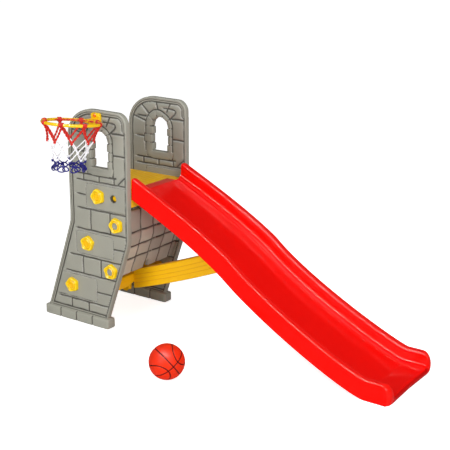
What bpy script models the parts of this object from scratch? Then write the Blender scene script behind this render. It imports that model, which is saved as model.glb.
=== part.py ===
# Kids slide tower: two block-relief side panels, a front wall, a platform and
# two steps held by star nuts, a red chute with a strut under it, a hoop with a
# net, and a loose ball. Metres, +Z up, +X from the tower to the slide's exit.
import math

import bmesh
import bpy
from mathutils import Matrix, Vector
from mathutils.geometry import interpolate_bezier

# Clearances
GAP = 0.0003
SLIP = 0.0008

# Side panels
INNER_HALF = 0.187
PANEL_T = 0.026
PANEL_W = 0.318
PANEL_TOP = 0.945
LEAN_DEG = 19.4
BEND_Z = 0.400
FRONT_CORNER_R = 0.050
BACK_CORNER_RX = 0.140
BACK_CORNER_RZ = 0.125
RIM_W = 0.017
RELIEF = 0.003
JOINT_W = 0.0035

# Panel feet
FOOT_H = 0.044
FOOT_OUT = 0.012
FOOT_IN = 0.013
FOOT_END = 0.014
FOOT_BLOCKS = 4
FOOT_NOTCH = 0.006

# Windows, set from the platform's deck below and the panel's top above
WIN_X = -0.1415
WIN_HALF = 0.0445
WIN_RISE = 0.100
WIN_MARGIN = 0.087
STONE_W = 0.028
STONE_BASE = 0.0006
STONE_PROUD = 0.0015
SILL_DROP = 0.034
JAMB_W = 0.084
COURSE_SHARE = 0.47
COURSE_RISE = 0.042

# Studs and nuts, as distance behind the panel's upper front edge, and height
STUD_R = 0.012
STUD_OUT = 0.015
BORE_R = STUD_R + GAP
NUT_T = 0.020
NUT_R = 0.0335
NUT_LOBE = 0.0035
NUT_LOBES = 5

# Platform and steps; a stud is placed by its x and its depth under the top
TRAY_WALL = 0.004
TRAY_ROUND = 0.007
PLATFORM_TOP = 0.605
PLATFORM_H = 0.053
PLATFORM_X0 = -0.312
PLATFORM_X1 = -0.001
PLATFORM_STUD_X = -0.152
PLATFORM_STUD_DROP = 0.021
PEG_X = -0.074
PEG_R = 0.010
PEG_HOLE_R = 0.0125
UPPER_TOP = 0.395
UPPER_H = 0.050
UPPER_X0 = -0.335
UPPER_X1 = -0.103
UPPER_STUD_X = -0.217
UPPER_STUD_DROP = 0.025
LOWER_TOP = 0.196
LOWER_H = 0.050
LOWER_X0 = -0.410
LOWER_X1 = -0.134
LOWER_STUD_X = -0.313
LOWER_STUD_DROP = 0.031

# Front wall
WALL_BACK = 0.024
WALL_T = 0.014
WALL_GAP = 0.024
WALL_BOTTOM = 0.235
FLANGE_D = 0.040
FLANGE_T = 0.006
NOTCH_HALF = 0.011
NOTCH_H = 0.034
WALL_COURSES = (0.073, 0.135, 0.1975)
WALL_JOINT_PITCH = 0.0855
WALL_JOINT_SHIFT = -0.013
WALL_STUD_HIGH = (-0.057, 0.474)
WALL_STUD_LOW = (-0.091, 0.267)

# Chute
CHUTE_SIDE_GAP = 0.002
CHUTE_FLARE = 0.009
FLARE_X0 = 0.45
FLARE_X1 = 1.05
RAIL_H = 0.080
RAIL_W = 0.030
CHUTE_FLOOR = 0.022
CHUTE_FILLET = 0.020
CHUTE_WALL = 0.004
CHUTE_START = 0.0005
CHUTE_START_DROP = 0.017
CHUTE_MID_X = 0.472
CHUTE_MID_Z = 0.321
CHUTE_MID_SLOPE = 0.788
CHUTE_FLAT = 0.102
CHUTE_END = 1.191
TOP_HANDLE = (0.141, 0.069)
MID_HANDLES = (0.134, 0.176)
FLAT_HANDLE = 0.067
EXIT_ROUND = 0.038
EXIT_LOW = 0.62
TOE_LEN = 0.021
TOE_H = 0.009
TONGUE_IN = 0.060
TONGUE_BACK = 0.055
LIP_H = 0.022

# Strut
STRUT_T = 0.040
STRUT_H = 0.086
STRUT_X0 = -0.1335
STRUT_Z0 = 0.1700
STRUT_X1 = 0.306
STRUT_Z1 = 0.3315
STRUT_SAG = 0.006
RIB_COUNT = 4
RIB_H = 0.0018
PIN_X = 0.425
PIN_R = 0.005
LUG_T = 0.006
HOOK_BOTTOM = 0.103
HOOK_LEN = 0.045
HOOK_SET = 0.024
TENON_H = 0.034

# Hoop
HOOP_R = 0.115
HOOP_TUBE = 0.0065
HOOP_TILT_DEG = 6.0
HOOP_X = -0.160
HOOP_DROP = 0.043
MOUNT_SHIFT = 0.013
BRACKET_W = 0.046
BRACKET_H = 0.046
BRACKET_T = 0.016
BRACKET_DROP = 0.032
ARM_W = 0.044
ARM_H = 0.028
ARM_T = 0.014
HOOP_BOLT_DROP = 0.019
HOOP_BOLT_R = 0.0036
NET_LOOPS = 8
NET_CORD = 0.0058
NET_INSETS = (0.002, 0.021, 0.032, 0.040, 0.046)
NET_DROPS = (0.0128, 0.072, 0.114, 0.155, 0.198)
KNOT_R = 0.0052
WRAP_T = 0.0022
WRAP_LEN = 0.016

# Ball
BALL_R = 0.070
BALL_X = 0.385
BALL_Y = -0.458

# Values that follow
OUTER_HALF = INNER_HALF + PANEL_T
PLATFORM_STUD = (PLATFORM_STUD_X, PLATFORM_TOP - PLATFORM_STUD_DROP)
UPPER_STUD = (UPPER_STUD_X, UPPER_TOP - UPPER_STUD_DROP)
LOWER_STUD = (LOWER_STUD_X, LOWER_TOP - LOWER_STUD_DROP)
WALL_TOP = PLATFORM_TOP - PLATFORM_H - WALL_GAP
CHUTE_START_Z = PLATFORM_TOP - CHUTE_START_DROP
CHUTE_FLAT_X = CHUTE_END - CHUTE_FLAT
CHUTE_HALF = INNER_HALF - CHUTE_SIDE_GAP
TONGUE_HALF = CHUTE_HALF - TONGUE_IN
HEAD = PANEL_TOP - PLATFORM_TOP
WIN_BOTTOM = PLATFORM_TOP + WIN_RISE
WIN_SPRING = PANEL_TOP - WIN_MARGIN - WIN_HALF
SILL_Z = WIN_BOTTOM - SILL_DROP
HOOP_Z = PANEL_TOP - HOOP_DROP
MOUNT_X = HOOP_X + MOUNT_SHIFT
BRACKET_Z = PANEL_TOP - BRACKET_DROP
HOOP_BOLT_Z = PANEL_TOP - HOOP_BOLT_DROP
LEAN = math.tan(math.radians(LEAN_DEG))
BEND_RISE = PANEL_W * math.tan(math.radians(LEAN_DEG / 2))
NUT_FACE = OUTER_HALF + GAP
STUD_TIP = NUT_FACE + STUD_OUT
HOOP_TILT = math.radians(HOOP_TILT_DEG)
BRACKET_FACE = OUTER_HALF + GAP + BRACKET_T
HOOP_Y = -(BRACKET_FACE + GAP + ARM_T * 0.5 + HOOP_R)
NUT_SPOTS = (PLATFORM_STUD, WALL_STUD_HIGH, UPPER_STUD, WALL_STUD_LOW, LOWER_STUD)

for old in list(bpy.data.objects):
    bpy.data.objects.remove(old, do_unlink=True)

scene = bpy.context.scene
scene.unit_settings.system = "METRIC"
scene.unit_settings.scale_length = 1.0

parts = bpy.data.collections.new("Kids_Slide_Tower")
cutters = bpy.data.collections.new("Cutters")
scene.collection.children.link(parts)
scene.collection.children.link(cutters)


def front_x(z):
    """Panel front edge: vertical above the bend, leaning back below it."""
    return -max(0.0, BEND_Z - z) * LEAN


def back_x(z):
    """Panel back edge: the same strip, one panel width behind."""
    return -PANEL_W - max(0.0, BEND_Z + BEND_RISE - z) * LEAN


FOOT_FRONT = front_x(FOOT_H) + FOOT_END
FOOT_BACK = back_x(FOOT_H) - FOOT_END
SIDE_LOW = -max(BALL_R - BALL_Y, HOOP_R + HOOP_TUBE - HOOP_Y)
SIDE_HIGH = NUT_FACE + NUT_T
FRAME_X = (FOOT_BACK + CHUTE_END) / 2
FRAME_Y = (SIDE_LOW + SIDE_HIGH) / 2

root = bpy.data.objects.new("slide_tower", None)
root.location = (-FRAME_X, -FRAME_Y, 0)
parts.objects.link(root)


def material(name, color, roughness, metallic=0.0):
    """A Principled material with one colour, roughness and metallic value."""
    mat = bpy.data.materials.new(name)
    mat.use_nodes = True
    shader = mat.node_tree.nodes["Principled BSDF"]
    shader.inputs["Base Color"].default_value = (*color, 1)
    shader.inputs["Roughness"].default_value = roughness
    shader.inputs["Metallic"].default_value = metallic
    mat.diffuse_color = (*color, 1)
    return mat


GREY = (0.37, 0.37, 0.31)
YELLOW = (0.95, 0.62, 0.02)
BRIGHT = (0.95, 0.75, 0.03)
RED = (0.85, 0.02, 0.01)
ORANGE = (0.90, 0.25, 0.02)


def place(name, data, color=None, roughness=0.5, cutter=False, location=(0, 0, 0)):
    """One object, in its collection, riding on the root empty."""
    obj = bpy.data.objects.new(name, data)
    obj.location = location
    obj.parent = root
    if cutter:
        cutters.objects.link(obj)
        obj.hide_render = True
        obj.display_type = "WIRE"
        return obj
    parts.objects.link(obj)
    data.materials.clear()
    data.materials.append(material(name, color, roughness))
    return obj


def to_mesh(bm, name, smooth=True, angle=35):
    """A bmesh as a mesh with outward normals, round where it is gentle."""
    bmesh.ops.recalc_face_normals(bm, faces=bm.faces)
    mesh = bpy.data.meshes.new(name)
    bm.to_mesh(mesh)
    bm.free()
    if smooth:
        mesh.shade_smooth()
        mesh.set_sharp_from_angle(angle=math.radians(angle))
    return mesh


def boolean(obj, other, operation="DIFFERENCE"):
    """An exact Boolean with another object."""
    mod = obj.modifiers.new(other.name, "BOOLEAN")
    mod.operation = operation
    mod.object = other
    return mod


def add_box(bm, x0, x1, y0, y1, z0, z1):
    """A box between two corners, added to a bmesh."""
    size = Vector((x1 - x0, y1 - y0, z1 - z0))
    centre = Vector((x0 + x1, y0 + y1, z0 + z1)) / 2
    matrix = Matrix.Translation(centre) @ Matrix.Diagonal((*size, 1))
    return bmesh.ops.create_cube(bm, size=1, matrix=matrix)["verts"]


def add_rod(bm, x, z, y0, y1, radius, sides=16):
    """A round rod along Y between two Y values."""
    turn = Matrix.Rotation(math.pi / 2, 4, "X")
    matrix = Matrix.Translation((x, (y0 + y1) / 2, z)) @ turn
    bmesh.ops.create_cone(bm, cap_ends=True, segments=sides, radius1=radius,
                          radius2=radius, depth=abs(y1 - y0), matrix=matrix)


def box_object(name, x0, x1, y0, y1, z0, z1):
    """A box as a cutter object."""
    bm = bmesh.new()
    add_box(bm, x0, x1, y0, y1, z0, z1)
    return place(name, to_mesh(bm, name, False), cutter=True)


def rods_object(name, rods, sides=16):
    """Rods along Y as one cutter object; each is (x, z, y0, y1, radius)."""
    bm = bmesh.new()
    for x, z, y0, y1, radius in rods:
        add_rod(bm, x, z, y0, y1, radius, sides)
    return place(name, to_mesh(bm, name), cutter=True)


def prism(bm, outline, y0, y1):
    """An (x, z) outline drawn out along Y. Returns the two end faces."""
    verts = [bm.verts.new((x, y0, z)) for x, z in outline]
    face = bm.faces.new(verts)
    moved = bmesh.ops.extrude_face_region(bm, geom=[face])["geom"]
    top = [g for g in moved if isinstance(g, bmesh.types.BMFace)][0]
    bmesh.ops.translate(bm, vec=(0, y1 - y0, 0), verts=top.verts)
    return face, top


def arc(cx, cz, rx, rz, a0, a1, count):
    """Points on an ellipse arc, angles in degrees, ends included."""
    points = []
    for i in range(count + 1):
        a = math.radians(a0 + (a1 - a0) * i / count)
        points.append((cx + rx * math.cos(a), cz + rz * math.sin(a)))
    return points


def split(bm, tag, test, point, normal):
    """Cut the tagged faces whose centre passes a test, along a plane."""
    faces = [f for f in bm.faces if f.material_index == tag
             and test(f.calc_center_median())]
    if not faces:
        return
    geom = list(faces)
    geom += list({e for f in faces for e in f.edges})
    geom += list({v for f in faces for v in f.verts})
    bmesh.ops.bisect_plane(bm, geom=geom, dist=1e-5, plane_co=point,
                           plane_no=normal)


# Side panels
def panel_outline():
    """The panel's outline in (x, z): a bent strip with a rounded top."""
    low = FOOT_H - 0.004
    pts = [(front_x(low), low)]
    for z in (BEND_Z - 0.012, BEND_Z - 0.004, BEND_Z + 0.006):
        pts.append((front_x(z) - 0.0004, z) if z < BEND_Z else (0, z))
    pts += arc(-FRONT_CORNER_R, PANEL_TOP - FRONT_CORNER_R - 0.002,
               FRONT_CORNER_R, FRONT_CORNER_R, 0, 90, 6)
    pts += arc(-PANEL_W + BACK_CORNER_RX, PANEL_TOP - BACK_CORNER_RZ,
               BACK_CORNER_RX, BACK_CORNER_RZ, 90, 180, 8)
    turn = BEND_Z + BEND_RISE
    for z in (turn + 0.020, turn - 0.002, turn - 0.022):
        pts.append((back_x(z) - 0.0005, z))
    pts.append((back_x(low), low))
    return pts


# Block rows: height range, joints as distances behind the front edge at the
# row's middle, and half courses between two such distances
ROWS = (
    (0.000, 0.098, (-0.203, -0.105), ()),
    (0.098, 0.224, (-0.105,), ((-0.105, 0.20, 0.155),)),
    (0.224, 0.305, (-0.206, -0.106), ()),
    (0.305, 0.428, (-0.076,), ((-0.076, 0.20, 0.365),)),
    (0.428, 0.519, (-0.203, -0.097), ()),
    (0.519, 0.642, (-0.231,), ((-0.60, -0.231, 0.580),)),
    (0.642, SILL_Z, (WIN_X - JAMB_W, WIN_X, WIN_X + JAMB_W), ()),
)
SIDE_COURSES = (PLATFORM_TOP + COURSE_SHARE * HEAD, WIN_SPRING + COURSE_RISE)
ARCH_JOINTS = (25, 60, 95, 137, 162)


def lay_blocks(bm, tag):
    """Divide one face of the panel into blocks along its rows."""
    for low, high, joints, halves in ROWS:
        split(bm, tag, lambda c: True, (0, 0, high), (0, 0, 1))
    for low, high, joints, halves in ROWS:
        edge = front_x((low + high) / 2)
        for x in joints:
            split(bm, tag, lambda c: low < c.z < high, (edge + x, 0, 0), (1, 0, 0))
        for x0, x1, z in halves:
            split(bm, tag, lambda c: low < c.z < high and x0 < c.x - edge < x1,
                  (0, 0, z), (0, 0, 1))
    top = ROWS[-1][1]
    back = WIN_X - JAMB_W
    front = WIN_X + JAMB_W
    for x in (back, front):
        split(bm, tag, lambda c: c.z > top, (x, 0, 0), (1, 0, 0))
    for z in SIDE_COURSES:
        split(bm, tag, lambda c: c.z > top and not back < c.x < front,
              (0, 0, z), (0, 0, 1))
    split(bm, tag, lambda c: c.z > top and back < c.x < front,
          (0, 0, WIN_SPRING), (0, 0, 1))
    for degrees in ARCH_JOINTS:
        a = math.radians(degrees)
        split(bm, tag, lambda c: c.z > WIN_SPRING and back < c.x < front,
              (WIN_X, 0, WIN_SPRING), (math.sin(a), 0, -math.cos(a)))


def window_path(margin):
    """Points round the opening, grown outward by a margin."""
    half = WIN_HALF + margin
    pts = []
    sill = 3
    for i in range(sill + 1):
        pts.append((WIN_X - half + 2 * half * i / sill, WIN_BOTTOM - margin))
    jamb = (0.30, 0.68, 1.0)
    rise = WIN_SPRING - WIN_BOTTOM
    for t in jamb:
        pts.append((WIN_X + half, WIN_BOTTOM + rise * t))
    pts += arc(WIN_X, WIN_SPRING, half, half, 0, 180, 7)[1:]
    for t in jamb[-2::-1]:
        pts.append((WIN_X - half, WIN_BOTTOM + rise * t))
    return pts


def window_frame(name, y0, y1):
    """The ring of stones round the window, each stone raised a little."""
    ins = window_path(0.0)
    outs = window_path(STONE_W)
    bm = bmesh.new()
    a = [bm.verts.new((x, y0, z)) for x, z in ins]
    b = [bm.verts.new((x, y0, z)) for x, z in outs]
    count = len(ins)
    faces = []
    for i in range(count):
        j = (i + 1) % count
        faces.append(bm.faces.new((a[i], b[i], b[j], a[j])))
    moved = bmesh.ops.extrude_face_region(bm, geom=faces)["geom"]
    far = [g for g in moved if isinstance(g, bmesh.types.BMFace)]
    bmesh.ops.translate(bm, vec=(0, y1 - y0, 0),
                        verts=list({v for f in far for v in f.verts}))
    bmesh.ops.recalc_face_normals(bm, faces=bm.faces)
    ends = [f for f in bm.faces if abs(f.normal.y) > 0.9]
    bmesh.ops.inset_individual(bm, faces=ends, thickness=0.003, depth=STONE_PROUD)
    return place(name, to_mesh(bm, name), cutter=True)


def foot_object(name, side):
    """The panel's foot: a bar with rounded edges, notched into blocks."""
    bm = bmesh.new()
    ya = side * (INNER_HALF - FOOT_IN)
    yb = side * (OUTER_HALF + FOOT_OUT)
    add_box(bm, FOOT_BACK, FOOT_FRONT, min(ya, yb), max(ya, yb), 0, FOOT_H)
    upper = [e for e in bm.edges if min(v.co.z for v in e.verts) > FOOT_H / 2
             or abs(e.verts[0].co.z - e.verts[1].co.z) > FOOT_H / 2]
    bmesh.ops.bevel(bm, geom=upper, offset=0.006, segments=2, affect="EDGES",
                    profile=0.5)
    obj = place(name, to_mesh(bm, name), cutter=True)
    notches = bmesh.new()
    step = (FOOT_FRONT - FOOT_BACK) / FOOT_BLOCKS
    for i in range(1, FOOT_BLOCKS):
        x = FOOT_BACK + step * i
        for y in (ya, yb):
            ring = add_box(notches, x - FOOT_NOTCH / 2, x + FOOT_NOTCH / 2,
                           y - FOOT_NOTCH / 2, y + FOOT_NOTCH / 2, -0.01, FOOT_H + 0.01)
            turn = Matrix.Rotation(math.pi / 4, 3, "Z")
            bmesh.ops.rotate(notches, verts=ring, cent=(x, y, 0), matrix=turn)
    cut = place(name + "_notches", to_mesh(notches, name, False), cutter=True)
    boolean(obj, cut)
    return obj


def build_panel(name, side):
    """A side panel: relief on both faces, stone window, foot and holes."""
    ya = side * INNER_HALF
    yb = side * OUTER_HALF
    bm = bmesh.new()
    prism(bm, panel_outline(), ya, yb)
    bmesh.ops.recalc_face_normals(bm, faces=bm.faces)
    ends = [f for f in bm.faces if abs(f.normal.y) > 0.9]
    for tag, face in enumerate(ends, start=1):
        bmesh.ops.inset_region(bm, faces=[face], thickness=RIM_W,
                               use_even_offset=True)
        bmesh.ops.inset_region(bm, faces=[face], thickness=RELIEF * 0.6,
                               depth=-RELIEF, use_even_offset=True)
        face.material_index = tag
        for other in bm.faces:
            if other is not face and other.material_index == tag:
                other.material_index = 0
        lay_blocks(bm, tag)
        cells = [f for f in bm.faces if f.material_index == tag]
        bmesh.ops.remove_doubles(bm, verts=list({v for f in cells for v in f.verts}),
                                 dist=JOINT_W)
        cells = [f for f in bm.faces if f.material_index == tag]
        bmesh.ops.inset_individual(bm, faces=cells, thickness=JOINT_W,
                                   depth=RELIEF, use_even_offset=True)
        for other in bm.faces:
            if other.material_index == tag:
                other.material_index = 0
    obj = place(name, to_mesh(bm, name, False), GREY, 0.6)

    opening = bmesh.new()
    reach = STONE_PROUD * 4
    prism(opening, window_path(STONE_W / 2), min(ya, yb) - reach, max(ya, yb) + reach)
    hole = place(name + "_window", to_mesh(opening, name, False), cutter=True)
    boolean(obj, hole)
    stones = window_frame(name + "_stones", min(ya, yb) - STONE_BASE,
                          max(ya, yb) + STONE_BASE)
    boolean(obj, stones, "UNION")
    boolean(obj, foot_object(name + "_foot", side), "UNION")
    low = min(ya, yb) - 0.01
    high = max(ya, yb) + 0.01
    rods = [(x, z, low, high, BORE_R) for x, z in NUT_SPOTS]
    rods.append((PEG_X, PLATFORM_STUD[1], low, high, PEG_HOLE_R))
    if side < 0:
        rods.append((MOUNT_X, HOOP_BOLT_Z, low, high, HOOP_BOLT_R + GAP))
    boolean(obj, rods_object(name + "_holes", rods))
    return obj


build_panel("side_panel_near", -1)
build_panel("side_panel_far", 1)


# Front wall
def wall_x(z):
    """The wall's face, set back from the panels' front edges."""
    return front_x(z) - WALL_BACK


def build_wall():
    """The wall: a bent plate with block relief, flanges and four studs."""
    half = INNER_HALF - GAP
    bm = bmesh.new()
    outline = [(wall_x(WALL_BOTTOM), WALL_BOTTOM), (wall_x(BEND_Z), BEND_Z),
               (wall_x(WALL_TOP), WALL_TOP), (wall_x(WALL_TOP) - WALL_T, WALL_TOP),
               (wall_x(BEND_Z) - WALL_T, BEND_Z + WALL_T * LEAN / 2),
               (wall_x(WALL_BOTTOM) - WALL_T, WALL_BOTTOM)]
    prism(bm, outline, -half, half)
    bmesh.ops.recalc_face_normals(bm, faces=bm.faces)
    for face in bm.faces:
        if face.normal.x > 0.5:
            face.material_index = 1
    courses = [WALL_BOTTOM + rise for rise in WALL_COURSES]
    for z in courses:
        split(bm, 1, lambda c: True, (0, 0, z), (0, 0, 1))
    for k in (-1, 0, 1, 2):
        y = WALL_JOINT_SHIFT + WALL_JOINT_PITCH * k
        split(bm, 1, lambda c: True, (0, y, 0), (0, 1, 0))
    cells = [f for f in bm.faces if f.material_index == 1]
    bent = [f for f in cells if courses[1] < f.calc_center_median().z < courses[2]]
    flat = [f for f in cells if f not in bent]
    bmesh.ops.inset_individual(bm, faces=flat, thickness=JOINT_W, depth=RELIEF * 0.8)
    while bent:
        y = bent[0].calc_center_median().y
        pair = [f for f in bent if abs(f.calc_center_median().y - y) < 0.01]
        bent = [f for f in bent if f not in pair]
        bmesh.ops.inset_region(bm, faces=pair, thickness=JOINT_W, depth=RELIEF * 0.8,
                               use_even_offset=True)
    for face in bm.faces:
        face.material_index = 0
    obj = place("front_wall", to_mesh(bm, "front_wall", False), GREY, 0.6)

    inner = half - FLANGE_T
    for side in (-1, 1):
        fb = bmesh.new()
        outline = [(wall_x(WALL_BOTTOM) - 0.004, WALL_BOTTOM + 0.004),
                   (wall_x(BEND_Z) - 0.004, BEND_Z),
                   (wall_x(WALL_TOP) - 0.004, WALL_TOP - 0.004),
                   (wall_x(WALL_TOP) - FLANGE_D - WALL_T, WALL_TOP - 0.004),
                   (wall_x(BEND_Z) - FLANGE_D - WALL_T, BEND_Z + 0.010),
                   (wall_x(WALL_BOTTOM) - FLANGE_D * 0.8 - WALL_T, WALL_BOTTOM + 0.004)]
        prism(fb, outline, side * inner, side * (half - GAP))
        tag = "near" if side < 0 else "far"
        flange = place("wall_flange_" + tag, to_mesh(fb, "flange", False), cutter=True)
        boolean(obj, flange, "UNION")
    rods = []
    for x, z in (WALL_STUD_HIGH, WALL_STUD_LOW):
        for side in (-1, 1):
            rods.append((x, z, side * (inner - 0.004), side * STUD_TIP, STUD_R))
    boolean(obj, rods_object("wall_studs", rods), "UNION")
    nb = bmesh.new()
    outline = [(-NOTCH_HALF, WALL_BOTTOM - 0.02)]
    outline += arc(0, WALL_BOTTOM + NOTCH_H - NOTCH_HALF, NOTCH_HALF, NOTCH_HALF, 180, 0, 8)
    outline += [(NOTCH_HALF, WALL_BOTTOM - 0.02)]
    prism(nb, outline, -0.2, 0.2)
    bmesh.ops.rotate(nb, verts=nb.verts, cent=(0, 0, 0),
                     matrix=Matrix.Rotation(math.pi / 2, 3, "Z"))
    boolean(obj, place("wall_notch", to_mesh(nb, "notch", False), cutter=True))


build_wall()


# Platform and steps
def build_tray(name, x0, x1, top, height, stud, pegs=()):
    """A tray open below, with a threaded stud at each end."""
    half = INNER_HALF - GAP
    bm = bmesh.new()
    add_box(bm, x0, x1, -half, half, top - height, top)
    edges = [e for e in bm.edges if min(v.co.z for v in e.verts) > top - height / 2
             or abs(e.verts[0].co.z - e.verts[1].co.z) > height / 2]
    bmesh.ops.bevel(bm, geom=edges, offset=TRAY_ROUND, segments=2,
                    affect="EDGES", profile=0.5)
    obj = place(name, to_mesh(bm, name), YELLOW, 0.4)
    w = TRAY_WALL
    boolean(obj, box_object(name + "_hollow", x0 + w, x1 - w, -half + w, half - w,
                            top - height - 0.01, top - w))
    rods = []
    for side in (-1, 1):
        rods.append((stud[0], stud[1], side * (half - w - 0.006), side * STUD_TIP, STUD_R))
        for x in pegs:
            rods.append((x, stud[1], side * (half - w - 0.006),
                         side * (OUTER_HALF - 0.006), PEG_R))
    boolean(obj, rods_object(name + "_studs", rods), "UNION")
    return obj


platform = build_tray("platform", PLATFORM_X0, PLATFORM_X1, PLATFORM_TOP,
                      PLATFORM_H, PLATFORM_STUD, (PEG_X,))
lip_x = CHUTE_START - TONGUE_BACK
slot = box_object("platform_slot", lip_x - SLIP - 0.004, lip_x + CHUTE_WALL + SLIP,
                  -TONGUE_HALF - SLIP, TONGUE_HALF + SLIP,
                  PLATFORM_TOP - 0.012, PLATFORM_TOP + 0.01)
boolean(platform, slot)
build_tray("step_upper", UPPER_X0, UPPER_X1, UPPER_TOP, UPPER_H, UPPER_STUD)
lower = build_tray("step_lower", LOWER_X0, LOWER_X1, LOWER_TOP, LOWER_H, LOWER_STUD)
tenon_half = STRUT_T / 2 - 0.003
tenon_low = LOWER_TOP - LOWER_H + 0.004
socket = box_object("lower_socket", LOWER_X1 - TRAY_WALL - 0.004, LOWER_X1 + 0.01,
                    -tenon_half - SLIP, tenon_half + SLIP,
                    tenon_low - GAP, tenon_low + TENON_H + GAP)
boolean(lower, socket)


# Chute
def chute_line(count):
    """The chute's lower edge from the tower to the exit, as (x, z) points."""
    start = Vector((CHUTE_START, 0, CHUTE_START_Z))
    mid = Vector((CHUTE_MID_X, 0, CHUTE_MID_Z))
    flat = Vector((CHUTE_FLAT_X, 0, 0))
    steep = Vector((1, 0, -CHUTE_MID_SLOPE))
    h1 = start + Vector((TOP_HANDLE[0], 0, -TOP_HANDLE[1]))
    h2 = mid - steep * MID_HANDLES[0]
    h3 = mid + steep * MID_HANDLES[1]
    h4 = flat - Vector((FLAT_HANDLE, 0, 0))
    pts = interpolate_bezier(start, h1, h2, mid, count)
    pts = pts[:-1] + interpolate_bezier(mid, h3, h4, flat, count)
    run = [(p.x, p.z) for p in pts]
    for back in (EXIT_ROUND, TOE_LEN, TOE_LEN * 0.4, 0.0):
        run.append((CHUTE_END - back, 0.0))
    return run


LINE = chute_line(9)


def chute_at(x):
    """Height and slope angle of the chute's lower edge at x."""
    for (xa, za), (xb, zb) in zip(LINE, LINE[1:]):
        if xa <= x <= xb:
            t = (x - xa) / (xb - xa)
            return za + (zb - za) * t, math.atan2(za - zb, xb - xa)
    return LINE[-1][1], 0.0


def chute_half_section(inset):
    """Half of the section as (y, h), from the outer foot to the middle."""
    rail = RAIL_W / 2
    cy = CHUTE_HALF - rail
    fillet_y = CHUTE_HALF - RAIL_W - CHUTE_FILLET
    pts = [(CHUTE_HALF - inset, 0.0)]
    pts += arc(cy, RAIL_H - rail, rail - inset, rail - inset, 0, 180, 5)
    pts += arc(fillet_y, CHUTE_FLOOR + CHUTE_FILLET, CHUTE_FILLET + inset,
               CHUTE_FILLET + inset, 0, -90, 2)
    pts.append((0.0, CHUTE_FLOOR - inset))
    return pts


def chute_ring(x, z, angle, inset, foot):
    """The closed section at one place along the chute, in space."""
    t = min(1.0, max(0.0, (x - FLARE_X0) / (FLARE_X1 - FLARE_X0)))
    wide = 1 + CHUTE_FLARE / CHUTE_HALF * t * t * (3 - 2 * t)
    over = max(0.0, x - (CHUTE_END - EXIT_ROUND)) / EXIT_ROUND
    low = EXIT_LOW + (1 - EXIT_LOW) * math.sqrt(max(0.0, 1 - over * over))
    lift = low / math.cos(angle)
    half = chute_half_section(inset)
    loop = half + [(-y, h) for y, h in half[-2::-1]]
    ring = [Vector((x, y * wide, z + h * lift)) for y, h in loop]
    ring[0].z = z + foot
    ring[-1].z = z + foot
    return ring


def loft(rings):
    """A closed solid through rings of the same length."""
    bm = bmesh.new()
    rows = [[bm.verts.new(p) for p in ring] for ring in rings]
    n = len(rows[0])
    for ra, rb in zip(rows, rows[1:]):
        for i in range(n):
            j = (i + 1) % n
            bm.faces.new((ra[i], ra[j], rb[j], rb[i]))
    bm.faces.new(rows[0])
    bm.faces.new(rows[-1][::-1])
    return bm


def build_chute():
    """The chute's outside and the hollow under it, each a loft on its line."""
    outer = []
    hollow = []
    for i, (x, z) in enumerate(LINE):
        a = LINE[max(0, i - 1)]
        b = LINE[min(len(LINE) - 1, i + 1)]
        angle = math.atan2(a[1] - b[1], b[0] - a[0])
        toe = max(0.0, (x - CHUTE_END + TOE_LEN) / TOE_LEN)
        outer.append(chute_ring(x, z, angle, 0.0, TOE_H * toe * toe))
        inner = chute_ring(x, z, angle, CHUTE_WALL, -0.02)
        if i in (0, len(LINE) - 1):
            back = Vector((-CHUTE_WALL, 0, CHUTE_WALL * math.tan(angle)))
            inner = [p + back for p in inner]
        hollow.append(inner)
    return loft(outer), loft(hollow)


outer_bm, hollow_bm = build_chute()
slide = place("slide_chute", to_mesh(outer_bm, "slide_chute", True, 40), RED, 0.25)
boolean(slide, place("chute_hollow", to_mesh(hollow_bm, "hollow", False), cutter=True))
tongue = bmesh.new()
t0 = PLATFORM_TOP + GAP
add_box(tongue, lip_x, CHUTE_START + 0.010, -TONGUE_HALF, TONGUE_HALF,
        t0, t0 + CHUTE_WALL)
boolean(slide, place("chute_tongue", to_mesh(tongue, "tongue", False), cutter=True),
        "UNION")
lip = bmesh.new()
add_box(lip, lip_x + 0.0001, lip_x + CHUTE_WALL, -TONGUE_HALF + 0.0005,
        TONGUE_HALF - 0.0005, t0 - LIP_H, t0 + CHUTE_WALL / 2)
boolean(slide, place("chute_lip", to_mesh(lip, "lip", False), cutter=True), "UNION")

pin_low, pin_angle = chute_at(PIN_X)
PIN_Z = pin_low + (CHUTE_FLOOR - CHUTE_WALL) / math.cos(pin_angle) - 0.024
lug_in = STRUT_T / 2 + RIB_H + 0.001
lugs = bmesh.new()
for side in (-1, 1):
    reach = 0.016
    z0, a0 = chute_at(PIN_X - reach)
    z1, a1 = chute_at(PIN_X + reach)
    up = CHUTE_FLOOR - CHUTE_WALL / 2
    outline = [(PIN_X - reach, z0 + up / math.cos(a0)),
               (PIN_X + reach, z1 + up / math.cos(a1)),
               (PIN_X + reach, PIN_Z)]
    outline += arc(PIN_X, PIN_Z - 0.002, 0.013, 0.012, -10, -170, 6)
    outline.append((PIN_X - reach, PIN_Z))
    ya = side * lug_in
    yb = side * (lug_in + LUG_T)
    prism(lugs, outline, ya, yb)
boolean(slide, place("chute_lugs", to_mesh(lugs, "lugs", False), cutter=True), "UNION")
pin_reach = lug_in + LUG_T + 0.004
boolean(slide, rods_object("chute_pin_hole",
                           [(PIN_X, PIN_Z, -pin_reach - 0.01, pin_reach + 0.01,
                             PIN_R + GAP)], 20))


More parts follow.
